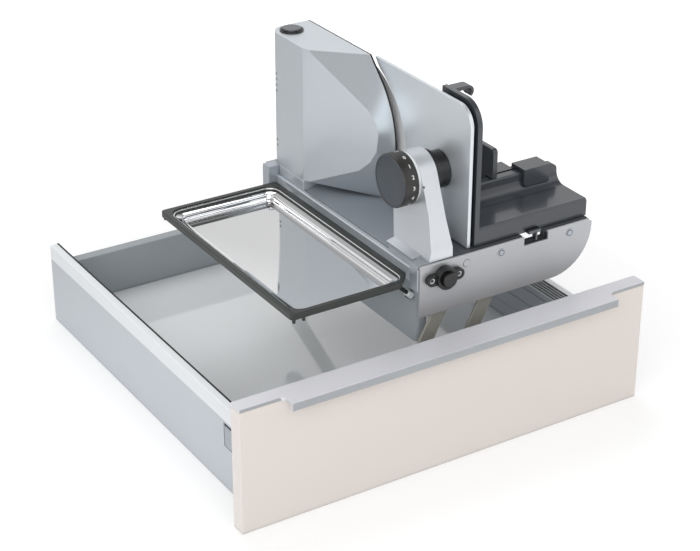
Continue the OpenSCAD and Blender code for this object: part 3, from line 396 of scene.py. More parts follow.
    # Hardened stainless blade, polished: mirrors the room softly
    blade: Finish = MirrorSteel("polished_blade_steel", "#E4E6E8", "#D6D9DC", 1.0, 0.12, 0.3,
                                grain_depth_mm=0.002, roughness_swing=0.03, ior=None)
    # Satin anodised stop plate: silky, and it takes a soft gradient
    stop: Finish = Finish("fine_anodised_plate", "#DCE1E5", "#D0D6DB", 0.65, 0.36, 0.3,
                          grain_depth_mm=0.004, roughness_swing=0.04, cloud=0.08, ior=None)
    # Deep-drawn tray pan, mirror polished: sharp reflections
    pan: Finish = MirrorSteel("mirror_stainless_pan", "#E2E2E3", "#D9DADB", 1.0, 0.035, 0.4,
                              grain_depth_mm=0.0004, roughness_swing=0.01, ior=None)
    # Moulded frame round the pan: near black with a green cast
    tray_frame: Finish = Finish("dark_tray_moulding", "#2C302D", "#262A27", 0, 0.36, 0.5, grain_depth_mm=0.01)


FINISH = Finishes()


class Workshop:
    """Makes, dresses and hands over pieces around the loaded frame."""

    def __init__(self, frame: dict) -> None:
        """Keep the loaded frame.
        """
        self.nodes: dict[str, bpy.types.Object] = frame["nodes"]
        self.body_of: dict[str, str] = {
            n: body for body, members in frame["record"]["behaviour"]["bodies"].items() for n in members}
        self.slot_of: dict[str, str] = {
            s["node"]: s["material_slot"] for s in frame["record"]["subparts"]}

    def paint(self, piece: bpy.types.Object, *finishes: Finish) -> None:
        """Give a piece a material for each finish, after those that it has."""
        for finish in finishes:
            piece.data.materials.append(finish.build())

    def dress(self, node: str, finish: Finish) -> None:
        """Give a CAD node its finish.

        Args:
            node: The node's name.
            finish: Its finish.
        """
        piece = self.nodes[node]
        piece.data.materials.clear()
        self.paint(piece, finish)
        LOG.info("%s keeps its solid, in %s", node, finish.name)

    def soften(self, node: str, finish: Finish, edge: Edge, segments: int = 3,
               sharp_deg: float = 32.0) -> bpy.types.Object:
        """Stand a welded copy with rounded edges in for a CAD node.

        Args:
            node: The node's name.
            finish: The copy's finish.
            edge: How sharp its edges were left.
            segments: Steps of the rounding.
            sharp_deg: Edges that turn more than this are rounded.

        Returns:
            The new piece, on the node's body.
        """
        shape = bmesh.new()
        shape.from_mesh(self.nodes[node].data)
        bmesh.ops.remove_doubles(shape, verts=shape.verts, dist=WELD)
        bmesh.ops.dissolve_limit(
            shape, angle_limit=math.radians(FLAT_DEG), verts=shape.verts, edges=shape.edges)
        piece = self.piece(f"{node}_form", shape)
        bevel = piece.modifiers.new("rounded_edges", "BEVEL")
        bevel.width = edge.value * MM
        bevel.segments = segments
        bevel.limit_method = "ANGLE"
        bevel.angle_limit = math.radians(sharp_deg)
        bevel.use_clamp_overlap = True
        self.bake(piece)
        self.stand_in(piece, finish, (node,), min(sharp_deg, CREASE_DEG))
        flat = piece.modifiers.new("flat_faces", "WEIGHTED_NORMAL")
        flat.mode = "FACE_AREA"
        flat.weight = 90
        flat.keep_sharp = True
        return piece

    def piece(self, name: str, shape: bmesh.types.BMesh) -> bpy.types.Object:
        """Turn a bmesh into an object at the origin.

        Args:
            name: The piece's name.
            shape: The mesh, which is freed.

        Returns:
            The object.
        """
        mesh = bpy.data.meshes.new(name)
        shape.to_mesh(mesh)
        shape.free()
        return put_in_scene(name, mesh)

    def bake(self, piece: bpy.types.Object) -> None:
        """Apply all modifiers of a piece to its mesh, and drop its empty material places.

        Args:
            piece: The piece.
        """
        graph = bpy.context.evaluated_depsgraph_get()
        baked = bpy.data.meshes.new_from_object(piece.evaluated_get(graph))
        piece.modifiers.clear()
        piece.data = baked
        for index in reversed(range(len(baked.materials))):
            if baked.materials[index] is None:
                baked.materials.pop(index=index)

    def stand_in(self, piece: bpy.types.Object, finish: Finish, nodes: Sequence[str],
                 sharp_deg: float = CREASE_DEG) -> None:
        """Finish a piece that stands for one or more CAD nodes.

        Args:
            piece: The modelled piece.
            finish: Its finish, unless its mesh already has materials.
            nodes: The nodes that it stands for.
            sharp_deg: The angle from which an edge stays sharp.
        """
        self.add(piece, finish, self.body_of[nodes[0]], self.slot_of[nodes[0]], sharp_deg)
        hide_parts(*nodes)

    def add(self, piece: bpy.types.Object, finish: Finish, body: str, slot: str,
            sharp_deg: float = CREASE_DEG) -> None:
        """Finish and shade a piece, and set it on its body.

        Args:
            piece: The modelled piece.
            finish: Its finish, unless its mesh already has materials.
            body: The body that it rides on.
            slot: The record's material slot; not used.
            sharp_deg: The angle from which an edge stays sharp.
        """
        if not piece.data.materials:
            self.paint(piece, finish)
        piece.data.shade_smooth()
        piece.data.set_sharp_from_angle(angle=math.radians(sharp_deg))
        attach(piece, body)
        LOG.info("%s rides on %s, in %s", piece.name, body, piece.data.materials[0].name)


def middle(low: Sequence[float], high: Sequence[float]) -> Point:
    """Give the middle of the box between two corners."""
    return tuple((a + b) / 2 for a, b in zip(low, high))


def angles(start_deg: float, end_deg: float, steps: int) -> list[float]:
    """List the angles along an arc in radians, its start and its end among them."""
    return [math.radians(start_deg + (end_deg - start_deg) * i / steps) for i in range(steps + 1)]


def block(shape: bmesh.types.BMesh, low: Sequence[float], high: Sequence[float]) -> None:
    """Add a closed block between two corners to a mesh.

    Args:
        shape: The mesh.
        low: Lowest corner, in metres.
        high: Highest corner, in metres.
    """
    made = bmesh.ops.create_cube(shape, size=1.0)["verts"]
    bmesh.ops.scale(shape, vec=[b - a for a, b in zip(low, high)], verts=made)
    bmesh.ops.translate(shape, vec=middle(low, high), verts=made)


def skin(shape: bmesh.types.BMesh, rings: Sequence[Sequence[bmesh.types.BMVert]]) -> None:
    """Stretch faces from ring to ring, where a ring of one point closes an end.

    Args:
        shape: The mesh.
        rings: Rings of points, alike in number and start.
    """
    for first, second in zip(rings, rings[1:]):
        count = max(len(first), len(second))
        for i in range(count):
            j = (i + 1) % count
            corners = (first[i % len(first)], first[j % len(first)],
                       second[j % len(second)], second[i % len(second)])
            unique = list(dict.fromkeys(corners))
            if len(unique) > 2:
                shape.faces.new(unique)


def lathe_x(shape: bmesh.types.BMesh, profile: Sequence[tuple[float, float]], low: Vector, high: Vector,
            steps: int) -> None:
    """Turn a profile round the middle of a box, along X.

    Args:
        shape: The mesh that gets the turned form.
        profile: Pairs of distance from the box's low X face and radius.
        low: The box's lowest corner.
        high: The box's highest corner.
        steps: Steps round the axis.
    """
    axis = middle(low, high)
    rings = []
    for x, r in profile:
        turns = [math.tau * i / steps for i in range(steps if r > WELD else 1)]
        rings.append([shape.verts.new((low.x + x, axis[1] + r * math.cos(a), axis[2] + r * math.sin(a)))
                      for a in turns])
    skin(shape, rings)
    bmesh.ops.recalc_face_normals(shape, faces=shape.faces)


def rounded_rectangle(low: tuple[float, float], high: tuple[float, float], radius: float,
                      z: float, steps: int = 10) -> list[Point]:
    """List the points of a rounded rectangle in a level plane.

    Args:
        low: Lowest corner in X and Y.
        high: Highest corner in X and Y.
        radius: Radius of the corners.
        z: Height of the plane.
        steps: Steps of each corner.

    Returns:
        The points, in order round the rectangle.
    """
    corners = [(high[0] - radius, low[1] + radius, -90), (high[0] - radius, high[1] - radius, 0),
               (low[0] + radius, high[1] - radius, 90), (low[0] + radius, low[1] + radius, 180)]
    return [(x + radius * math.cos(a), y + radius * math.sin(a), z)
            for x, y, start in corners for a in angles(start, start + 90, steps)]


@dataclass
class Assembly:
    """A sub-assembly, with the workshop that makes its pieces."""

    shop: Workshop


@dataclass
class Drawer(Assembly):
    """The drawer box: front, metal grip, sides with their covers, back and floor."""

    seal_w: float = 1.3 * MM
    seal_sink: float = 0.6 * MM
    seal_proud: float = 0.15 * MM
    rib_proud: float = 0.5 * MM
    rib_h: float = 0.65 * MM
    rib_heights: tuple[float, ...] = (0.22, 0.42, 0.62, 0.8)

    def build(self) -> None:
        """Dress the drawer and add its seals and ribs."""
        self.shop.soften("front_panel", FINISH.front_lacquer, Edge.LACQUERED)
        grip = self.shop.soften("grip_profile", FINISH.profile, Edge.EASED)
        self.shop.paint(grip, FINISH.lip)
        # Painted shade: the faces that look forward take the darker copy of the aluminium
        for face in grip.data.polygons:
            face.material_index = int(face.normal.y < -FACING)
        for side in ("left", "right"):
            self.shop.soften(f"side_{side}", FINISH.drawer_side, Edge.CRISP)
            self.shop.soften(f"side_rail_{side}", FINISH.rail_white, Edge.DRAWN)
            self.seal(side)
        self.shop.soften("back_panel", FINISH.back_board, Edge.EASED)
        self.shop.soften("floor_panel", FINISH.floor_board, Edge.CUT)
        self.shop.soften("front_brackets", FINISH.bracket, Edge.BROKEN)

    def seal(self, side: str) -> None:
        """Lay the black lip and the long ribs along the inside of a side's cover.

        Args:
            side: left or right.
        """
        low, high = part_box(f"side_rail_{side}")
        inner, inward = (high.x, 1) if side == "left" else (low.x, -1)
        strips = [(-self.seal_w, high.z - self.seal_sink, high.z + self.seal_proud)]
        for share in self.rib_heights:
            z = low.z + share * (high.z - low.z)
            strips.append((self.rib_proud, z, z + self.rib_h))
        shape = bmesh.new()
        for reach, bottom, top in strips:
            near, far = sorted((inner, inner + inward * reach))
            block(shape, (near, low.y, bottom), (far, high.y, top))
        piece = self.shop.piece(f"rail_seal_{side}", shape)
        self.shop.add(piece, FINISH.seal_black, "drawer", "rubber_black")


@dataclass
class Lift(Assembly):
    """The parallel-arm lift on the drawer's floor."""

    def build(self) -> None:
        """Dress arms, plates and pins."""
        for plate in ("mount_plate", "rear_bracket"):
            self.shop.soften(plate, FINISH.lift_coat, Edge.BROKEN)
        for arm in ("arm_front_left", "arm_front_right", "arm_rear_right"):
            self.shop.soften(arm, FINISH.lift_coat, Edge.EASED)
        for pins in ("pivot_pin_left", "pivot_pins_right", "link_pins"):
            self.shop.dress(pins, FINISH.bright_steel)


@dataclass
class ScrewHeads(Assembly):
    """Round screw heads, each with a black disc of painted shade where its recess is and a bright pin in it,
    set out by one node tree.
    """

    sides: int = 40
    pin_sides: int = 24
    seat_rise: float = 1.04
    pin_rise: float = 1.08

    def tree(self) -> bpy.types.NodeTree:
        """Build the node tree, with sizes and finishes as named inputs.

        Returns:
            The tree.
        """
        tree = bpy.data.node_groups.new("screw_heads", "GeometryNodeTree")
        tree.is_modifier = True
        for name, kind in (("Places", "Geometry"), ("Head Radius", "Float"), ("Head Height", "Float"),
                           ("Seat Radius", "Float"), ("Pin Radius", "Float"), ("Turn", "Rotation"),
                           ("Metal", "Material"), ("Shadow", "Material")):
            tree.interface.new_socket(name=name, in_out="INPUT", socket_type=f"NodeSocket{kind}")
        tree.interface.new_socket(name="Heads", in_out="OUTPUT", socket_type="NodeSocketGeometry")
        given = add_node(tree, "NodeGroupInput").outputs
        joined = add_node(tree, "GeometryNodeJoinGeometry")
        # The Seat disc is painted shade: a black disc where the screw's recess is, coloured by the Shadow
        # material
        for part, sides, rise in (("Head", self.sides, 1.0), ("Seat", self.sides, self.seat_rise),
                                  ("Pin", self.pin_sides, self.pin_rise)):
            depth = add_node(tree, "ShaderNodeMath", {"operation": "MULTIPLY"}, {
                0: given["Head Height"], 1: rise})
            disc = add_node(tree, "GeometryNodeMeshCylinder", None, {
                "Vertices": sides, "Radius": given[f"{part} Radius"], "Depth": depth.outputs["Value"]})
            on_faces = {"data_type": "BOOLEAN", "domain": "FACE"}
            marked = add_node(tree, "GeometryNodeStoreNamedAttribute", on_faces, {
                "Geometry": disc.outputs["Mesh"], "Name": "seat", "Value": part == "Seat"})
            tree.links.new(marked.outputs["Geometry"], joined.inputs["Geometry"])
        spread = add_node(tree, "GeometryNodeInstanceOnPoints", None, {
            "Points": given["Places"], "Instance": joined.outputs["Geometry"], "Rotation": given["Turn"]})
        real = add_node(tree, "GeometryNodeRealizeInstances", None, {"Geometry": spread.outputs["Instances"]})
        metal = add_node(tree, "GeometryNodeSetMaterial", None, {
            "Geometry": real.outputs["Geometry"], "Material": given["Metal"]})
        chosen = add_node(tree, "GeometryNodeInputNamedAttribute", {"data_type": "BOOLEAN"}, {"Name": "seat"})
        dark = add_node(tree, "GeometryNodeSetMaterial", None, {
            "Geometry": metal.outputs["Geometry"], "Selection": chosen.outputs["Attribute"],
            "Material": given["Shadow"]})
        add_node(tree, "NodeGroupOutput", None, {"Heads": dark.outputs["Geometry"]})
        return tree

    def place(self, name: str, node: str, places: Iterable[Point], radius: float,
              height: float, turn: tuple[float, float, float], finish: Finish,
              shares: tuple[float, float] = (0.62, 0.42)) -> None:
        """Set heads at their places and stand them in for a CAD node.

        Args:
            name: The piece's name.
            node: The CAD node of these screws.
            places: Middle of each head.
            radius: Radius of a head.
            height: Height of a head.
            turn: Rotation that points a head out of its surface.
            finish: The heads' finish.
            shares: Radius of the black disc of painted shade and of the pin in it, as shares of the head's.
        """
        mesh = bpy.data.meshes.new(name)
        mesh.from_pydata(list(places), [], [])
        piece = put_in_scene(name, mesh)
        step = piece.modifiers.new("heads", "NODES")
        step.node_group = bpy.data.node_groups.get("screw_heads") or self.tree()
        values = {"Head Radius": radius, "Head Height": height, "Seat Radius": radius * shares[0],
                  "Pin Radius": radius * shares[1], "Turn": turn, "Metal": finish.build(),
                  "Shadow": FINISH.seal_black.build()}
        for item in step.node_group.interface.items_tree:
            if item.in_out == "INPUT" and item.name in values:
                step[item.identifier] = values[item.name]
        self.shop.bake(piece)
        self.shop.stand_in(piece, finish, (node,))


@dataclass
class Base(Assembly):
    """The base that carries the cutting unit: plates, blocks, ledges, screws and the release unit."""

    # A plate screw's head stands as high as its radius
    screw_radius: float = 4 * MM
    ear_screw_radius: float = 2.8 * MM
    mount_screw_inset: float = 12 * MM
    bracket_screw_inset: float = 8.5 * MM
    # Shares of a head for its disc of painted shade and for the pin in it
    plate_seat: tuple[float, float] = (0.78, 0.62)
    ear_seat: tuple[float, float] = (0.55, 0.05)
    upright: tuple[float, float, float] = (math.pi / 2, 0.0, 0.0)
    level: tuple[float, float, float] = (0.0, 0.0, 0.0)

    def build(self) -> None:
        """Dress the base and set its screws."""
        self.shop.soften("base_frame", FINISH.base_dark, Edge.BROKEN)
        for side in ("front", "rear"):
            self.shop.soften(f"{side}_side_plate", FINISH.side_plate, Edge.CRISP)
            self.shop.soften(f"end_block_{side}", FINISH.block, Edge.EASED)
        for node, finish, edge in (
                # The ledge finish on foot_rail and housing_foot is painted light: a lighter copy of the block
                # aluminium
                ("foot_rail", FINISH.ledge, Edge.BROKEN), ("slice_chute", FINISH.chute, Edge.BROKEN),
                ("housing_foot", FINISH.ledge, Edge.BROKEN), ("lower_housing", FINISH.lower_box, Edge.EASED),
                ("carriage_rail", FINISH.rail_dark, Edge.CRISP),
                ("plate_plug", FINISH.side_plate, Edge.CRISP),
                ("release_housing", FINISH.black_satin, Edge.SOFT),
                ("release_button", FINISH.black_satin, Edge.CRISP)):
            self.shop.soften(node, finish, edge)
        self.screws()

    def screws(self) -> None:
        """Set out the screw heads where the CAD screws are."""
        heads = ScrewHeads(self.shop)
        low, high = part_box("side_plate_screws")
        r, z = self.screw_radius, middle(low, high)[2]
        spots = [(x, y, z) for x in (low.x + r, high.x - r) for y in (low.y + r / 2, high.y - r / 2)]
        heads.place("plate_screw_heads", "side_plate_screws", spots, r, r, self.upright,
                    FINISH.block, self.plate_seat)
        low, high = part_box("release_screws")
        r, (_, y, z) = self.ear_screw_radius, middle(low, high)
        spots = [(x, y, z) for x in (low.x + r, high.x - r)]
        heads.place("release_screw_heads", "release_screws", spots, r, high.y - low.y, self.upright,
                    FINISH.rail_white, self.ear_seat)
        low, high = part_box("mount_screws")
        front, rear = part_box("mount_plate"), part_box("rear_bracket")
        z, inset = middle(low, high)[2], self.mount_screw_inset
        spots = [(x, y, z) for x in (front[0].x + inset, front[1].x - inset)
                 for y in (front[0].y + inset, front[1].y - inset)]
        spots += [(x, high.y - self.screw_radius, z) for x in
                  (rear[0].x + self.bracket_screw_inset, rear[1].x - self.bracket_screw_inset)]
        heads.place("mount_screw_heads", "mount_screws", spots, self.screw_radius, high.z - low.z,
                    self.level, FINISH.bright_steel)


@dataclass
class CuttingUnit(Assembly):
    """Motor housing, blade guard, blade and drive."""

    # The housing's facets turn by less than other edges, and still get an edge each
    facet_deg: float = 13.0
    seat_r: float = 26 * MM
    bore_r: float = 8 * MM
    sheet: float = 1.2 * MM
    dish_steps: int = 5
    ground_w: float = 14 * MM
    # Places across the ground ring, from its inner side to the edge
    ground_shares: tuple[float, ...] = (0.05, 0.3, 0.55, 0.8, 1.0)
    ground_curve: float = 1.4
    ground_seam: float = 0.1 * MM
    edge_sink: float = 0.15 * MM
    edge_round: float = 0.2 * MM
    turning_steps: int = 160
    blade_crease_deg: float = 30.0

    def build(self) -> None:
        """Dress the cutting unit."""
        self.shop.soften("motor_housing", FINISH.housing, Edge.FULL, sharp_deg=self.facet_deg)
        self.shop.soften("blade_guard", FINISH.guard, Edge.CRISP)
        for node, finish in (("gear_carrier", FINISH.block), ("motor_case", FINISH.motor),
                             ("motor_rotor", FINISH.motor), ("drive_gear", FINISH.gear),
                             ("blade_hub", FINISH.black_satin)):
            self.shop.dress(node, finish)
        self.blade()
        self.shop.soften("blade_cap", FINISH.knob_face, Edge.EASED)
        self.shop.soften("button_ring", FINISH.black_satin, Edge.EASED)
        self.shop.soften("power_button", FINISH.black_plastic, Edge.BROKEN)

    def blade(self) -> None:
        """Turn the dished blade with its ground ring."""
        low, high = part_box("blade")
        r = (high.z - low.z) / 2
        reach = high.x - low.x
        inner = r - self.ground_w
        fall = (reach - self.sheet) * (inner - self.seat_r) / (r - self.seat_r)
        dish = [(fall * i / self.dish_steps, self.seat_r + (inner - self.seat_r) * i / self.dish_steps)
                for i in range(self.dish_steps + 1)]
        ground = [(reach - self.edge_sink - (reach - fall) * (1 - t) ** self.ground_curve,
                   r - self.ground_w * (1 - t)) for t in self.ground_shares]
        front = [(x + self.sheet, at) for x, at in reversed(dish)]
        profile = [(0.0, self.bore_r), *dish, *ground, (reach, r - self.edge_round), *front,
                   (self.sheet, self.bore_r), (0.0, self.bore_r)]
        shape = bmesh.new()
        lathe_x(shape, profile, low, high, self.turning_steps)
        bmesh.ops.remove_doubles(shape, verts=shape.verts, dist=WELD)
        bmesh.ops.recalc_face_normals(shape, faces=shape.faces)
        piece = self.shop.piece("blade_form", shape)
        self.shop.paint(piece, FINISH.blade, FINISH.ground_edge)
        axis = Vector(middle(low, high)).yz
        # The ground ring's faces on the blade's back take the white painted highlight
        for face in piece.data.polygons:
            out = (face.center.yz - axis).length
            face.material_index = int(out > inner + self.ground_seam and face.normal.x < 0)
        self.shop.stand_in(piece, FINISH.blade, ("blade",), self.blade_crease_deg)


@dataclass
class KnobFigures(Assembly):
    """White figures round the knob's rim, plain numbers from 0 to 14."""

    height: float = 3.7 * MM
    height_in_type: float = 0.7
    stroke: float = 0.03
    lift: float = 0.1 * MM
    step_deg: float = 23.5
    last: int = 14
    from_face: float = 9.7 * MM

    def build(self, rest_setting: int, pointer_deg: float) -> None:
        """Bend each figure round the rim.

        Args:
            rest_setting: The figure that stands at the pointer.
            pointer_deg: Direction of the pointer round the axis, from +Y towards +Z.
        """
        low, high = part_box("thickness_knob")
        centre = (low + high) / 2
        radius = (high.z - low.z) / 2 + self.lift
        shape = bmesh.new()
        for figure in range(self.last + 1):
            mesh = self.flat_figure(str(figure))
            turn = math.radians(pointer_deg + (figure - rest_setting) * self.step_deg)
            spots = []
            for v in mesh.verts:
                a = turn - v.co.y / radius
                spots.append(shape.verts.new((
                    low.x + self.from_face + v.co.x, centre.y + radius * math.cos(a),
                    centre.z + radius * math.sin(a))))
            for f in mesh.faces:
                shape.faces.new([spots[v.index] for v in f.verts])
            mesh.free()
        piece = self.shop.piece("knob_figures", shape)
        self.shop.add(piece, FINISH.print_white, "knob", "collar_white")

    def flat_figure(self, text: str) -> bmesh.types.BMesh:
        """Make a figure in the plane Z = 0, centred on the origin.

        Args:
            text: The figure.

        Returns:
            Its mesh, with its points numbered.
        """
        curve = bpy.data.curves.new("figure", "FONT")
        curve.body = text
        curve.size = self.height / self.height_in_type
        curve.align_x = "CENTER"
        curve.align_y = "CENTER"
        curve.resolution_u = 3
        curve.offset = self.height * self.stroke
        holder = put_in_scene("figure", curve)
        graph = bpy.context.evaluated_depsgraph_get()
        flat = bpy.data.meshes.new_from_object(holder.evaluated_get(graph))
        bpy.data.objects.remove(holder)
        shape = bmesh.new()
        shape.from_mesh(flat)
        shape.verts.index_update()
        bpy.data.meshes.remove(flat)
        return shape


@dataclass
class Thickness(Assembly):
    """The thickness knob on its support arm, with the stop plate that it sets."""

    arm_segments: int = 4
    rest_setting: int = 3
    pointer_deg: float = 180.0
    pointer_proud: float = 0.35 * MM
    pointer_reach: float = 2.4 * MM
    pointer_w: float = 2.6 * MM
    pointer_gap: float = 0.2 * MM
    rim_w: float = 15.4 * MM
    rim_ease: float = 0.4 * MM
    shaft_r: float = 5 * MM
    border: float = 2.2 * MM
    # From the sunk face up to the raised border: depth, and distance out from the border's start
    border_step: tuple[tuple[float, float], ...] = (
        (0.45 * MM, -0.5 * MM), (0.3 * MM, -0.3 * MM), (0.05 * MM, 0.0), (0.0, 0.3 * MM),
        (0.05 * MM, 0.6 * MM))
    border_steps: int = 6
    slate_depth: float = 0.5 * MM
    turning_steps: int = 128
    knob_crease_deg: float = 50.0

    def build(self) -> None:
        """Turn the knob, and dress the arm and the stop plate."""
        self.shop.soften("support_arm", FINISH.arm, Edge.ROUNDED, self.arm_segments)
        self.shop.soften("spindle_sleeve", FINISH.black_satin, Edge.BROKEN)
        self.shop.dress("knob_collar", FINISH.rail_white)
        self.shop.soften("stop_plate", FINISH.stop, Edge.EASED)
        self.shop.dress("stop_slider", FINISH.black_satin)
        self.knob()
        self.pointer_mark()
        KnobFigures(self.shop).build(self.rest_setting, self.pointer_deg)

    def knob(self) -> None:
        """Turn the knob: a flat slate face in a raised border, a dark rim and the shaft."""
        low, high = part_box("thickness_knob")
        r, end = (high.z - low.z) / 2, high.x - low.x
        inner = r - self.border
        step = [(depth, inner + out) for depth, out in self.border_step]
        crest = step[-1][1]
        shoulder = [((r - crest) * (1 - math.cos(a)), crest + (r - crest) * math.sin(a))
                    for a in angles(0, 90, self.border_steps)[1:]]
        profile = [(step[0][0], 0.0), *step, *shoulder, (self.rim_w - self.rim_ease, r),
                   (self.rim_w, r - self.rim_ease), (self.rim_w, self.shaft_r), (end, self.shaft_r),
                   (end, 0.0)]
        shape = bmesh.new()
        lathe_x(shape, profile, low, high, self.turning_steps)
        piece = self.shop.piece("knob_form", shape)
        self.shop.paint(piece, FINISH.knob_rim, FINISH.knob_face)
        for face in piece.data.polygons:
            face.material_index = int(face.center.x < low.x + self.slate_depth and face.normal.x < -FACING)
        self.shop.stand_in(piece, FINISH.knob_rim, ("thickness_knob",), self.knob_crease_deg)

    def pointer_mark(self) -> None:
        """Set a small black triangle of painted shade where the pointer notch is cut in the arm, level with
        the knob's axis.
        """
        low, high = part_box("thickness_knob")
        arm_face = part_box("knob_collar")[1].x
        tip, z = low.y - self.pointer_gap, middle(low, high)[2]
        foot = tip - self.pointer_reach
        corners = [(tip, z), (foot, z + self.pointer_w / 2), (foot, z - self.pointer_w / 2)]
        shape = bmesh.new()
        ends = [[shape.verts.new((x, *corner)) for corner in corners]
                for x in (arm_face - self.pointer_proud, arm_face + self.pointer_proud)]
        skin(shape, ends)
        for end in ends:
            shape.faces.new(end)
        bmesh.ops.recalc_face_normals(shape, faces=shape.faces)
        piece = self.shop.piece("pointer_mark", shape)
        self.shop.add(piece, FINISH.black_satin, "base", "black_plastic")


@dataclass
class Carriage(Assembly):
    """The sliding carriage with its tall guard, thumb grip and food pusher."""

    def build(self) -> None:
        """Dress the carriage."""
        for node, edge in (("carriage", Edge.SOFT), ("thumb_grip", Edge.EASED),
                           ("food_pusher", Edge.MOULDED), ("pusher_rider", Edge.MOULDED)):
            self.shop.soften(node, FINISH.black_plastic, edge)
        self.shop.dress("carriage_shoe", FINISH.black_satin)


@dataclass
class Tray(Assembly):
    """The catch tray: dark frame, mirror pan, feet and hooks."""

    corner: float = 13 * MM
    corner_least: float = 2 * MM
    corner_shrink: float = 0.75
    rim_drop: float = 1.5 * MM
    bead: float = 0.9 * MM
    bead_from_deg: float = 200.0
    bead_to_deg: float = -20.0
    ledge_drop: float = 3.1 * MM
    # From the bead down to the ledge and along it: inset, and height over the ledge
    ledge: tuple[tuple[float, float], ...] = (
        (2.6 * MM, 0.5 * MM), (3.1 * MM, 0.0), (7.4 * MM, -0.1 * MM), (8.3 * MM, -0.7 * MM))
    wall_in: float = 9.2 * MM
    floor_fillet: float = 3.2 * MM
    floor_rise: float = 0.8 * MM
    arc_steps: int = 8
    sheet: float = 0.7 * MM
    pan_crease_deg: float = 50.0

    def build(self) -> None:
        """Dress the frame and press the pan."""
        self.shop.soften("tray_frame", FINISH.tray_frame, Edge.FULL)
        self.shop.soften("tray_feet", FINISH.tray_frame, Edge.EASED)
        self.shop.dress("tray_hooks", FINISH.tray_frame)
        self.shop.dress("tray_hook_tips", FINISH.rail_white)
        self.pan()

    def pan(self) -> None:
        """Press the pan as one sheet: rolled rim, step, wall and flat floor."""
        low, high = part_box("tray_pan")
        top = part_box("tray_frame")[1].z - self.rim_drop
        shape = bmesh.new()
        rings = []
        for inset, z in self.section(top, low.z + self.floor_rise):
            points = rounded_rectangle((low.x + inset, low.y + inset), (high.x - inset, high.y - inset),
                                       max(self.corner - inset * self.corner_shrink, self.corner_least), z)
            rings.append([shape.verts.new(p) for p in points])
        skin(shape, rings)
        floor = shape.faces.new(rings[-1])
        bmesh.ops.recalc_face_normals(shape, faces=shape.faces)
        if floor.normal.z < 0:
            bmesh.ops.reverse_faces(shape, faces=shape.faces)
        piece = self.shop.piece("tray_pan_form", shape)
        sheet = piece.modifiers.new("sheet", "SOLIDIFY")
        sheet.thickness = self.sheet
        sheet.offset = -1.0
        self.shop.bake(piece)
        self.shop.stand_in(piece, FINISH.pan, ("tray_pan",), self.pan_crease_deg)

    def section(self, top: float, floor: float) -> list[tuple[float, float]]:
        """List the pan's section from its outer edge to its floor.

        Args:
            top: Height of the rolled rim's crest.
            floor: Height of the floor.

        Returns:
            Pairs of inset and height.
        """
        bead, fillet, ledge = self.bead, self.floor_fillet, top - self.ledge_drop
        return [*((bead + bead * math.cos(a), top - bead + bead * math.sin(a))
                  for a in angles(self.bead_from_deg, self.bead_to_deg, self.arc_steps)),
                *((inset, ledge + rise) for inset, rise in self.ledge),
                *((self.wall_in + fillet + fillet * math.cos(a), floor + fillet + fillet * math.sin(a))
                  for a in angles(180, 270, self.arc_steps))]


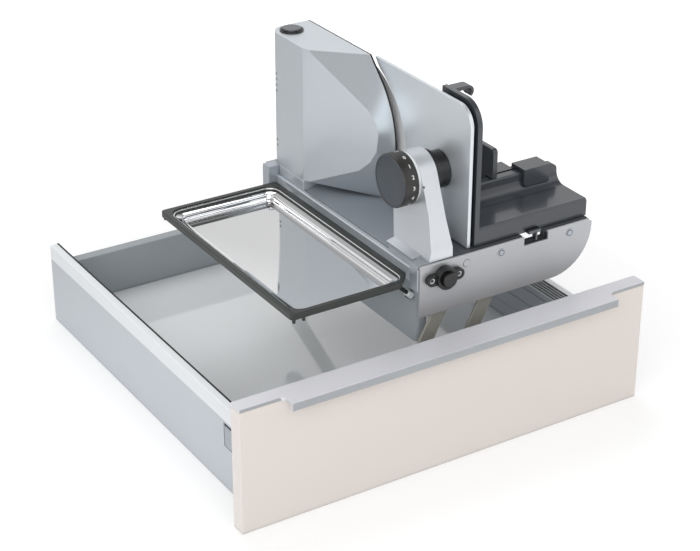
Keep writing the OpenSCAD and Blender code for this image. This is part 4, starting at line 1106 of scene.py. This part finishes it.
@dataclass
class Studio:
    """Camera, lamps, floor and white surroundings."""

    camera_at: Point = (-857.0 * MM, -1399.1 * MM, 952.7 * MM)
    azimuth_deg: float = 32.236
    elevation_deg: float = 27.455
    roll_deg: float = 0.166
    lens_mm: float = 94.97
    floor_half: float = 6.0
    # Each lamp's name, place, aim, side of its square face and watts
    lamps: tuple[tuple[str, Point, Point, float, float], ...] = (
        ("key_front", (-1.2, -2.1, 1.45), (0.0, 0.0, 0.15), 2.4, 27.0),
        ("fill_left", (-1.7, -1.2, 1.1), (0.0, 0.0, 0.1), 1.0, 5.0),
        ("top_back", (0.3, 0.9, 2.2), (0.0, 0.0, 0.1), 1.2, 13.0),
        ("fill_right", (1.9, -1.0, 1.3), (0.0, 0.0, 0.1), 1.8, 9.0),
    )

    WHITE: ClassVar[Colour] = (1.0, 1.0, 1.0, 1.0)
    # The world as light: stronger from above, and weaker from the right
    SKY: ClassVar[Span] = {"From Min": -0.1, "From Max": 0.7, "To Min": 0.42, "To Max": 0.8}
    SIDE: ClassVar[Span] = {"From Min": -0.5, "From Max": 0.8, "To Min": 1.0, "To Max": 0.35}
    # The world in reflections: white walls under a dark ceiling
    CEILING: ClassVar[Span] = {"From Min": 0.42, "From Max": 0.85, "To Min": 1.0, "To Max": 0.14}
    # The floor's own glow, by metres from the object: white far out, and darkened near it by the shadow
    OPEN_FLOOR: ClassVar[Span] = {"From Min": 0.4, "From Max": 1.1, "To Min": 0.45, "To Max": 1.0}
    # The floor in reflections, by metres towards the back: it falls off behind the object
    BACK_FLOOR: ClassVar[Span] = {"From Min": 0.15, "From Max": 0.5, "To Min": 0.66, "To Max": 0.12}
    # The floor's own grey, as it throws light back and as it is seen
    LIT_GREY: ClassVar[Colour] = (0.8, 0.8, 0.8, 1.0)
    SEEN_GREY: ClassVar[Colour] = (0.6, 0.6, 0.6, 1.0)

    def build(self) -> None:
        """Set up the camera, the lamps and the surroundings."""
        scene = bpy.context.scene
        scene.view_settings.view_transform = "Standard"
        self.camera(scene)
        for lamp in self.lamps:
            self.lamp(*lamp)
        self.surroundings(scene)
        self.floor()

    def camera(self, scene: bpy.types.Scene) -> None:
        """Place the camera where the photograph was taken.

        Args:
            scene: The scene.
        """
        az, el, roll = (math.radians(v) for v in (self.azimuth_deg, self.elevation_deg, self.roll_deg))
        back = Vector((-math.sin(az) * math.cos(el), -math.cos(az) * math.cos(el), math.sin(el)))
        right = (-back).cross(Vector((0, 0, 1))).normalized()
        up = right.cross(-back)
        level_right = math.cos(roll) * right + math.sin(roll) * up
        level_up = -math.sin(roll) * right + math.cos(roll) * up
        data = bpy.data.cameras.new("photo_camera")
        data.sensor_width = 36.0
        data.lens = self.lens_mm
        data.clip_start = 0.05
        data.clip_end = 50.0
        camera = put_in_scene("photo_camera", data)
        turn = Matrix((level_right, level_up, back)).transposed().to_4x4()
        camera.matrix_world = Matrix.Translation(self.camera_at) @ turn
        scene.camera = camera

    def lamp(self, name: str, place: Point, target: Point, size: float, power: float) -> None:
        """Hang one square soft lamp.

        Args:
            name: The lamp's name.
            place: Where it hangs.
            target: Where it points.
            size: Side of its square face.
            power: Its power in watts.
        """
        data = bpy.data.lights.new(name, "AREA")
        data.shape = "SQUARE"
        data.size = size
        data.energy = power
        lamp = put_in_scene(name, data)
        lamp.location = place
        lamp.rotation_euler = (Vector(target) - Vector(place)).to_track_quat("-Z", "Y").to_euler()

    def surroundings(self, scene: bpy.types.Scene) -> None:
        """Make the world: white to the camera, white walls in reflections, softer as light.

        Args:
            scene: The scene.
        """
        world = bpy.data.worlds.new("white_room")
        scene.world = world
        world.use_nodes = True
        tree = world.node_tree
        tree.nodes.clear()
        path = add_node(tree, "ShaderNodeLightPath").outputs
        direction = add_node(tree, "ShaderNodeTexCoord").outputs["Generated"]
        parts = add_node(tree, "ShaderNodeSeparateXYZ", None, {"Vector": direction}).outputs
        height, side, ceiling = (
            add_node(tree, "ShaderNodeMapRange", None, {"Value": parts[axis], **span}).outputs["Result"]
            for axis, span in (("Z", self.SKY), ("X", self.SIDE), ("Z", self.CEILING)))
        level = add_node(tree, "ShaderNodeMath", {"operation": "MULTIPLY"}, {0: height, 1: side})
        mirrored = add_node(tree, "ShaderNodeMix", {"data_type": "FLOAT"}, {
            "Factor": path["Is Glossy Ray"], "A": level.outputs["Value"], "B": ceiling})
        lit = add_node(tree, "ShaderNodeBackground", None, {
            "Color": self.WHITE, "Strength": mirrored.outputs["Result"]})
        white = add_node(tree, "ShaderNodeBackground", None, {"Color": self.WHITE, "Strength": 1.0})
        mixed = add_node(tree, "ShaderNodeMixShader", None, {
            0: path["Is Camera Ray"], 1: lit.outputs["Background"], 2: white.outputs["Background"]})
        add_node(tree, "ShaderNodeOutputWorld", None, {"Surface": mixed.outputs["Shader"]})

    def floor(self) -> None:
        """Lay the pale floor, which keeps the object's shadow."""
        h = self.floor_half
        mesh = bpy.data.meshes.new("studio_floor")
        mesh.from_pydata([(-h, -h, 0), (h, -h, 0), (h, h, 0), (-h, h, 0)], [], [(0, 1, 2, 3)])
        floor = put_in_scene("studio_floor", mesh)
        pale = bpy.data.materials.new("pale_floor")
        pale.use_nodes = True
        tree = pale.node_tree
        tree.nodes.clear()
        path = add_node(tree, "ShaderNodeLightPath").outputs
        seen = path["Is Camera Ray"]
        for ray in ("Is Glossy Ray", "Is Transmission Ray"):
            seen = add_node(tree, "ShaderNodeMath", {"operation": "MAXIMUM"}, {
                0: seen, 1: path[ray]}).outputs["Value"]
        lit = add_node(tree, "ShaderNodeBsdfDiffuse", None, {"Color": self.LIT_GREY})
        soft = add_node(tree, "ShaderNodeBsdfDiffuse", None, {"Color": self.SEEN_GREY})
        place = add_node(tree, "ShaderNodeTexCoord").outputs["Object"]
        away = add_node(tree, "ShaderNodeVectorMath", {"operation": "LENGTH"}, {0: place})
        behind = add_node(tree, "ShaderNodeSeparateXYZ", None, {"Vector": place})
        near, fading = (
            add_node(tree, "ShaderNodeMapRange", None, {"Value": value, **span}).outputs["Result"]
            for value, span in ((away.outputs["Value"], self.OPEN_FLOOR),
                                (behind.outputs["Y"], self.BACK_FLOOR)))
        level = add_node(tree, "ShaderNodeMix", {"data_type": "FLOAT"}, {
            "Factor": path["Is Glossy Ray"], "A": near, "B": fading})
        glow = add_node(tree, "ShaderNodeEmission", None, {
            "Color": self.WHITE, "Strength": level.outputs["Result"]})
        bright = add_node(tree, "ShaderNodeAddShader", None, {
            0: soft.outputs["BSDF"], 1: glow.outputs["Emission"]})
        mixed = add_node(tree, "ShaderNodeMixShader", None, {
            0: seen, 1: lit.outputs["BSDF"], 2: bright.outputs["Shader"]})
        add_node(tree, "ShaderNodeOutputMaterial", None, {"Surface": mixed.outputs["Shader"]})
        mesh.materials.append(pale)


def main() -> None:
    """Load the frame, build every sub-assembly and set up the studio."""
    logging.basicConfig(level=logging.INFO, format="%(message)s")
    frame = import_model()
    shop = Workshop(frame)
    for assembly in (Drawer, Lift, Base, CuttingUnit, Thickness, Carriage, Tray):
        assembly(shop).build()
    Studio().build()
    bpy.context.view_layer.update()


if __name__ == "__main__":
    main()
